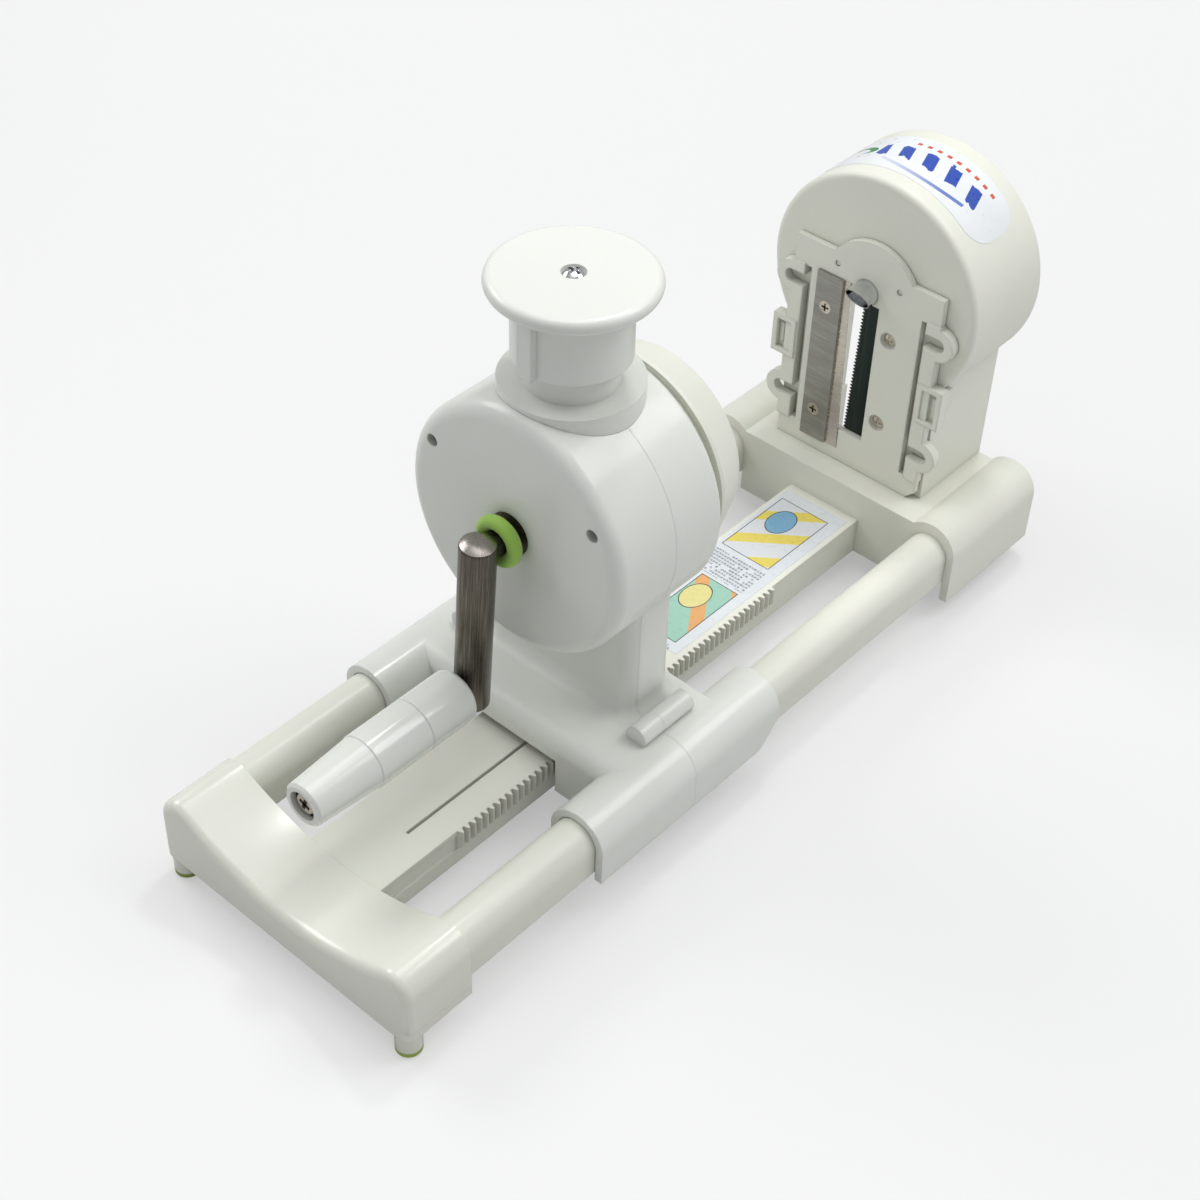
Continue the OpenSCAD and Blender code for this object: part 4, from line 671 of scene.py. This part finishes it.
class SPIRALIZER_OT_front_block(bpy.types.Operator):
    """Sweeps the outline of the front block along it, with soft outer edges and two foot stubs"""

    bl_idname = "spiralizer.front_block"
    bl_label = "Front block"

    def execute(self, context):
        radius = context.scene.spiralizer_sizes.block_edge
        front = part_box("front_block")[0][1]
        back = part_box("left_rail")[0][1]
        steps = 9
        turns = [QUARTER * index / steps for index in range(steps + 1)]
        rings = [(front + radius * (1 - math.cos(turn)), radius * (1 - math.sin(turn))) for turn in turns]
        rings.append((back, 0.0))
        block = bmesh.new()
        loops = []
        for place, inset in rings:
            corners = [block.verts.new((x, place, z)) for x, z in block_outline(inset)]
            loops.append([block.edges.new(pair) for pair in zip(corners, corners[1:] + corners[:1])])
        for near, far in zip(loops, loops[1:]):
            bmesh.ops.bridge_loops(block, edges=near + far)
        for end in (loops[0], loops[-1]):
            bmesh.ops.contextual_create(block, geom=end)
        bmesh.ops.recalc_face_normals(block, faces=block.faces)
        self.add_foot_stubs(block)
        plastic = moulded_plastic(
            "block_plastic_gloss", context.scene.spiralizer_colours.ivory, 1.04, 1.0, rough=0.19,
            grain=0.5, edge=0.4 * MM, coat=0.3)
        finished_piece("soft_front_block", block, plastic, "frame", "front_block")
        return {"FINISHED"}

    def add_foot_stubs(self, block):
        """Adds the two round stubs that stand on the front pads and end inside the block."""
        stub_top = 22 * MM
        low, high = node_box("front_foot_pads")
        foot = 0.5 * (high.y - low.y)
        height = stub_top - high.z
        for side in (low.x + foot, high.x - foot):
            stub = Matrix.Translation((side, low.y + foot, high.z + height / 2))
            bmesh.ops.create_cone(
                block, cap_ends=True, segments=48, radius1=foot, radius2=foot, depth=height,
                matrix=stub)


class SPIRALIZER_OT_crank_arm(bpy.types.Operator):
    """Turns the crank's rod with its domed, radially brushed top"""

    bl_idname = "spiralizer.crank_arm"
    bl_label = "Crank arm"

    def execute(self, context):
        sizes = context.scene.spiralizer_sizes
        low, high = node_box("crank_arm")
        middle_y = (low.y + high.y) / 2
        radius, dome = sizes.arm_radius, sizes.arm_dome
        edge, relief = 0.6 * MM, 0.4 * MM
        bottom, top = low.z, SPINDLE_Z + radius
        shoulder = top - dome - 2 * edge
        foot = [
            (0, bottom), (radius - edge, bottom), (radius - 0.3 * edge, bottom + 0.3 * edge),
            (radius, bottom + edge)]
        rim = [
            (radius, shoulder - relief), (radius - 0.15 * edge, shoulder),
            (radius - 0.5 * edge, shoulder + 0.7 * edge), (radius - edge, shoulder + edge),
            (radius - 1.6 * edge, shoulder + 1.25 * edge)]
        crown = [(0.66 * radius, top - 0.42 * dome), (0.33 * radius, top - 0.10 * dome), (0, top)]
        rod = self.turned(foot + rim + crown)
        lean = Matrix.Translation((0, middle_y, SPINDLE_Z)) @ Matrix.Rotation(CRANK_LEAN, 4, "Y")
        bmesh.ops.transform(rod, matrix=lean @ Matrix.Translation((0, 0, -SPINDLE_Z)), verts=rod.verts)
        bmesh.ops.recalc_face_normals(rod, faces=rod.faces)
        steel = crank_rod_steel("crank_dark_brushed_steel", middle_y, top - 3 * edge)
        finished_piece("crank_rod", rod, steel, "crank", "crank_arm")
        return {"FINISHED"}

    def turned(self, profile):
        """A bmesh turned about Z from a half profile of radius and height."""
        shape = bmesh.new()
        corners = [shape.verts.new((radius, 0, height)) for radius, height in profile]
        edges = [shape.edges.new(pair) for pair in zip(corners, corners[1:])]
        bmesh.ops.spin(
            shape, geom=corners + edges, cent=(0, 0, 0), axis=(0, 0, 1), angle=2 * math.pi,
            steps=128, use_merge=True)
        bmesh.ops.remove_doubles(shape, verts=shape.verts, dist=1e-7)
        return shape


class SPIRALIZER_OT_grip_screw(bpy.types.Operator):
    """Puts a plated cross head screw near the mouth of the grip, with painted shade: a near black disc
    behind its head and a near black raised cross on it
    """

    bl_idname = "spiralizer.grip_screw"
    bl_label = "Grip screw"

    def execute(self, context):
        sunk, radius, thick, rounding = 1.3 * MM, 4.7 * MM, 2.6 * MM, 0.8 * MM
        slot_width, slot_length, rise, slot_turn = 1.7 * MM, 5.4 * MM, 0.12 * MM, 0.35
        shade_disc_radius, shade_disc_thick, shade_disc_share = 6.3 * MM, 0.4 * MM, 0.6
        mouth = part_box("grip_end")[0][1]
        centre = Vector((
            -GRIP_THROW * math.sin(CRANK_LEAN), mouth, SPINDLE_Z - GRIP_THROW * math.cos(CRANK_LEAN)))
        head = bmesh.new()
        self.add_disc(head, centre, sunk + thick / 2, radius, thick)
        rim = [
            edge for edge in head.edges
            if all(abs(corner.co.y - mouth - sunk) < 1e-6 for corner in edge.verts)]
        bmesh.ops.bevel(
            head, geom=rim, offset=rounding, offset_type="OFFSET", segments=4, profile=0.5,
            affect="EDGES", clamp_overlap=True, material=-1)
        # Painted shade: the raised cross and the disc behind the head are near black, in place of the
        # shade of the screw's recess.
        painted_shade_verts = []
        for turn in (slot_turn, slot_turn + QUARTER):
            place = Matrix.Translation(centre + Vector((0, sunk, 0))) @ Matrix.Rotation(turn, 4, "Y")
            bar = place @ Matrix.Diagonal((slot_width, 2 * rise, slot_length, 1))
            painted_shade_verts += bmesh.ops.create_cube(head, size=1, matrix=bar)["verts"]
        painted_shade_verts += self.add_disc(head, centre, sunk + shade_disc_share * thick, shade_disc_radius, shade_disc_thick)
        for face in {face for corner in painted_shade_verts for face in corner.link_faces}:
            face.material_index = 1
        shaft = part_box("grip_axle")[0][1] - mouth - sunk - thick
        self.add_disc(head, centre, sunk + thick + shaft / 2, radius / 2, shaft, segments=32)
        piece = finished_piece(
            "grip_screw_head", head, bpy.data.materials["screw_nickel"], "crank",
            "grip_screw")
        # Near black finish of the painted shade on and around the screw head.
        recess_shade_material = oiled_bronze("screw_hollow_dark", (0.02, 0.018, 0.014), (0.008, 0.007, 0.006))
        piece.data.materials.append(recess_shade_material)
        return {"FINISHED"}

    def add_disc(self, shape, centre, depth, radius, thick, segments=64):
        """Adds a disc across Y, a depth behind the centre of the grip's mouth, and returns its corners."""
        place = Matrix.Translation(centre + Vector((0, depth, 0))) @ Matrix.Rotation(QUARTER, 4, "X")
        return bmesh.ops.create_cone(
            shape, cap_ends=True, segments=segments, radius1=radius, radius2=radius, depth=thick,
            matrix=place)["verts"]


class SPIRALIZER_OT_drum_label(bpy.types.Operator):
    """Bends the printed sheet with round corners over the top of the drum"""

    bl_idname = "spiralizer.drum_label"
    bl_label = "Drum label"

    def execute(self, context):
        thick = 0.15 * MM
        low, high = node_box("drum_label")
        outer = high.z - SPINDLE_Z
        half_length = outer * math.asin(min(1.0, high.x / outer))
        middle_y = (low.y + high.y) / 2
        sheet = self.flat_sheet(half_length, high.y - low.y, context.scene.spiralizer_sizes.label_corner)
        chart = sheet.loops.layers.uv.new("UVMap")
        for face in sheet.faces:
            for loop in face.loops:
                loop[chart].uv = loop.vert.co.xy
        bmesh.ops.solidify(sheet, geom=sheet.faces[:], thickness=thick)
        for vert in sheet.verts:
            flat = vert.co.copy()
            turn = flat.x / outer
            radius = outer + flat.z
            vert.co = (radius * math.sin(turn), middle_y + flat.y, SPINDLE_Z + radius * math.cos(turn))
        bmesh.ops.recalc_face_normals(sheet, faces=sheet.faces)
        finished_piece(
            "drum_sheet", sheet, drum_print("drum_print"), "frame", "drum_label")
        return {"FINISHED"}

    def flat_sheet(self, half_length, width, corner):
        """A flat sheet with round corners, cut into strips across its length for the bend."""
        strips = 72
        sheet = bmesh.new()
        bmesh.ops.create_grid(sheet, x_segments=1, y_segments=1, size=0.5)
        bmesh.ops.scale(sheet, vec=(2 * half_length, width, 1), verts=sheet.verts)
        bmesh.ops.bevel(
            sheet, geom=list(sheet.verts), offset=corner, offset_type="OFFSET", segments=12,
            profile=0.5, affect="VERTICES", material=-1)
        for index in range(1, strips):
            x = half_length * (2 * index / strips - 1)
            bmesh.ops.bisect_plane(
                sheet, geom=sheet.verts[:] + sheet.edges[:] + sheet.faces[:], dist=1e-7,
                plane_co=(x, 0, 0), plane_no=(1, 0, 0))
        return sheet


def floor_paper(name):
    """Pale paper that the camera sees evenly bright, with the object's shadow still on it.

    Each lamp lights the floor by the fourth power of its distance. The paper glows for the camera
    alone, by what the sky and the lamps leave short of white.
    """
    paper, seen_paper, glow = (0.62,) * 3, 0.48, (1.0, 1.0, 1.0)
    finish = Finish(name, rough=0.9)
    seen = finish.add("ShaderNodeLightPath").outputs["Is Camera Ray"]
    lit = SKY
    for _, place, _, power in LAMPS:
        far = finish.add("ShaderNodeVectorMath", operation="DISTANCE")
        finish.link(finish.place, far.inputs[0])
        far.inputs[1].default_value = place
        fall = finish.math("POWER", far.outputs["Value"], -4.0)
        lit = finish.math("MULTIPLY_ADD", fall, power * place[2] ** 2 / math.pi ** 2, lit)
    lift = finish.math("SUBTRACT", WHITE, finish.math("MULTIPLY", lit, seen_paper))
    finish.put(Base_Color=finish.mix(seen, paper, (seen_paper,) * 3), Specular_IOR_Level=0.0)
    finish.put(Emission_Color=glow, Emission_Strength=finish.math("MULTIPLY", seen, lift))
    return finish.material


class SPIRALIZER_OT_studio(bpy.types.Operator):
    """Sets the pale floor, the soft lights and the camera"""

    bl_idname = "spiralizer.studio"
    bl_label = "Studio"

    def execute(self, context):
        context.scene.view_settings.view_transform = "Standard"
        self.lay_floor(context.scene)
        self.raise_sky(context.scene)
        self.hang_lamps(context.scene)
        self.place_camera(context.scene)
        return {"FINISHED"}

    def lay_floor(self, scene):
        """Lays the paper under the feet."""
        half_width = 6.0
        floor = bmesh.new()
        bmesh.ops.create_grid(floor, x_segments=1, y_segments=1, size=half_width)
        mesh = bpy.data.meshes.new("floor")
        floor.to_mesh(mesh)
        floor.free()
        mesh.materials.append(floor_paper("floor_paper"))
        ground = bpy.data.objects.new("floor", mesh)
        scene.collection.objects.link(ground)

    def raise_sky(self, scene):
        """Lights the object softly from all around, and shows white to the camera."""
        world = bpy.data.worlds.new("studio")
        world.use_nodes = True
        scene.world = world
        nodes, links = world.node_tree.nodes, world.node_tree.links
        sky = nodes["Background"]
        sky.inputs["Color"].default_value = (0.97, 0.985, 1.0, 1)
        seen = nodes.new("ShaderNodeLightPath").outputs["Is Camera Ray"]
        strength = nodes.new("ShaderNodeMapRange")
        strength.inputs["To Min"].default_value = SKY
        strength.inputs["To Max"].default_value = WHITE
        links.new(seen, strength.inputs["Value"])
        links.new(strength.outputs["Result"], sky.inputs["Strength"])

    def hang_lamps(self, scene):
        """Hangs the softboxes facing down, and turns the small streak lamp at the object."""
        for name, place, width, power in LAMPS:
            lamp = bpy.data.lights.new(name, "AREA")
            lamp.shape = "DISK"
            lamp.size = width
            lamp.energy = power
            light = bpy.data.objects.new(name, lamp)
            light.location = place
            if name == "streak":
                light.rotation_euler = Vector(place).to_track_quat("Z", "Y").to_euler()
            scene.collection.objects.link(light)

    def place_camera(self, scene):
        """Places the camera where the photograph was taken from."""
        place = (0.41884, -0.51449, 0.65511)
        azimuth, height, roll = (math.radians(angle) for angle in (40.464, 42.089, 2.1086))
        camera = bpy.data.cameras.new("camera")
        camera.sensor_width = 36
        camera.lens = 62.462
        camera.clip_start = 10 * MM
        back = Vector((
            math.sin(azimuth) * math.cos(height), -math.cos(azimuth) * math.cos(height),
            math.sin(height)))
        right = Vector((math.cos(azimuth), math.sin(azimuth), 0))
        up = back.cross(right)
        across = right * math.cos(roll) + up * math.sin(roll)
        upward = up * math.cos(roll) - right * math.sin(roll)
        turn = Matrix((across, upward, back)).transposed().to_4x4()
        view = bpy.data.objects.new("camera", camera)
        view.matrix_world = Matrix.Translation(place) @ turn
        scene.collection.objects.link(view)
        scene.camera = view


class SPIRALIZER_PT_sidebar(bpy.types.Panel):
    """Sizes, colours and the steps that make the piece"""

    bl_idname = "SPIRALIZER_PT_sidebar"
    bl_label = "Spiralizer"
    bl_space_type = "VIEW_3D"
    bl_region_type = "UI"
    bl_category = "Spiralizer"

    def draw(self, context):
        layout = self.layout
        for group in (context.scene.spiralizer_colours, context.scene.spiralizer_sizes):
            for name in group.bl_rna.properties.keys():
                if name not in {"rna_type", "name"}:
                    layout.prop(group, name)
        for operator in OPERATORS:
            layout.operator(operator.bl_idname)


OPERATORS = (
    SPIRALIZER_OT_studio, SPIRALIZER_OT_finishes, SPIRALIZER_OT_front_block,
    SPIRALIZER_OT_crank_arm, SPIRALIZER_OT_grip_screw, SPIRALIZER_OT_drum_label)
CLASSES = (SpiralizerColours, SpiralizerSizes, *OPERATORS, SPIRALIZER_PT_sidebar)


def register():
    for item in CLASSES:
        bpy.utils.register_class(item)
    bpy.types.Scene.spiralizer_colours = bpy.props.PointerProperty(type=SpiralizerColours)
    bpy.types.Scene.spiralizer_sizes = bpy.props.PointerProperty(type=SpiralizerSizes)


def unregister():
    del bpy.types.Scene.spiralizer_sizes
    del bpy.types.Scene.spiralizer_colours
    for item in reversed(CLASSES):
        bpy.utils.unregister_class(item)


def main():
    register()
    bpy.ops.spiralizer.studio()
    bpy.ops.spiralizer.finishes()
    bpy.ops.spiralizer.front_block()
    bpy.ops.spiralizer.crank_arm()
    bpy.ops.spiralizer.grip_screw()
    bpy.ops.spiralizer.drum_label()


if __name__ == "__main__":
    main()
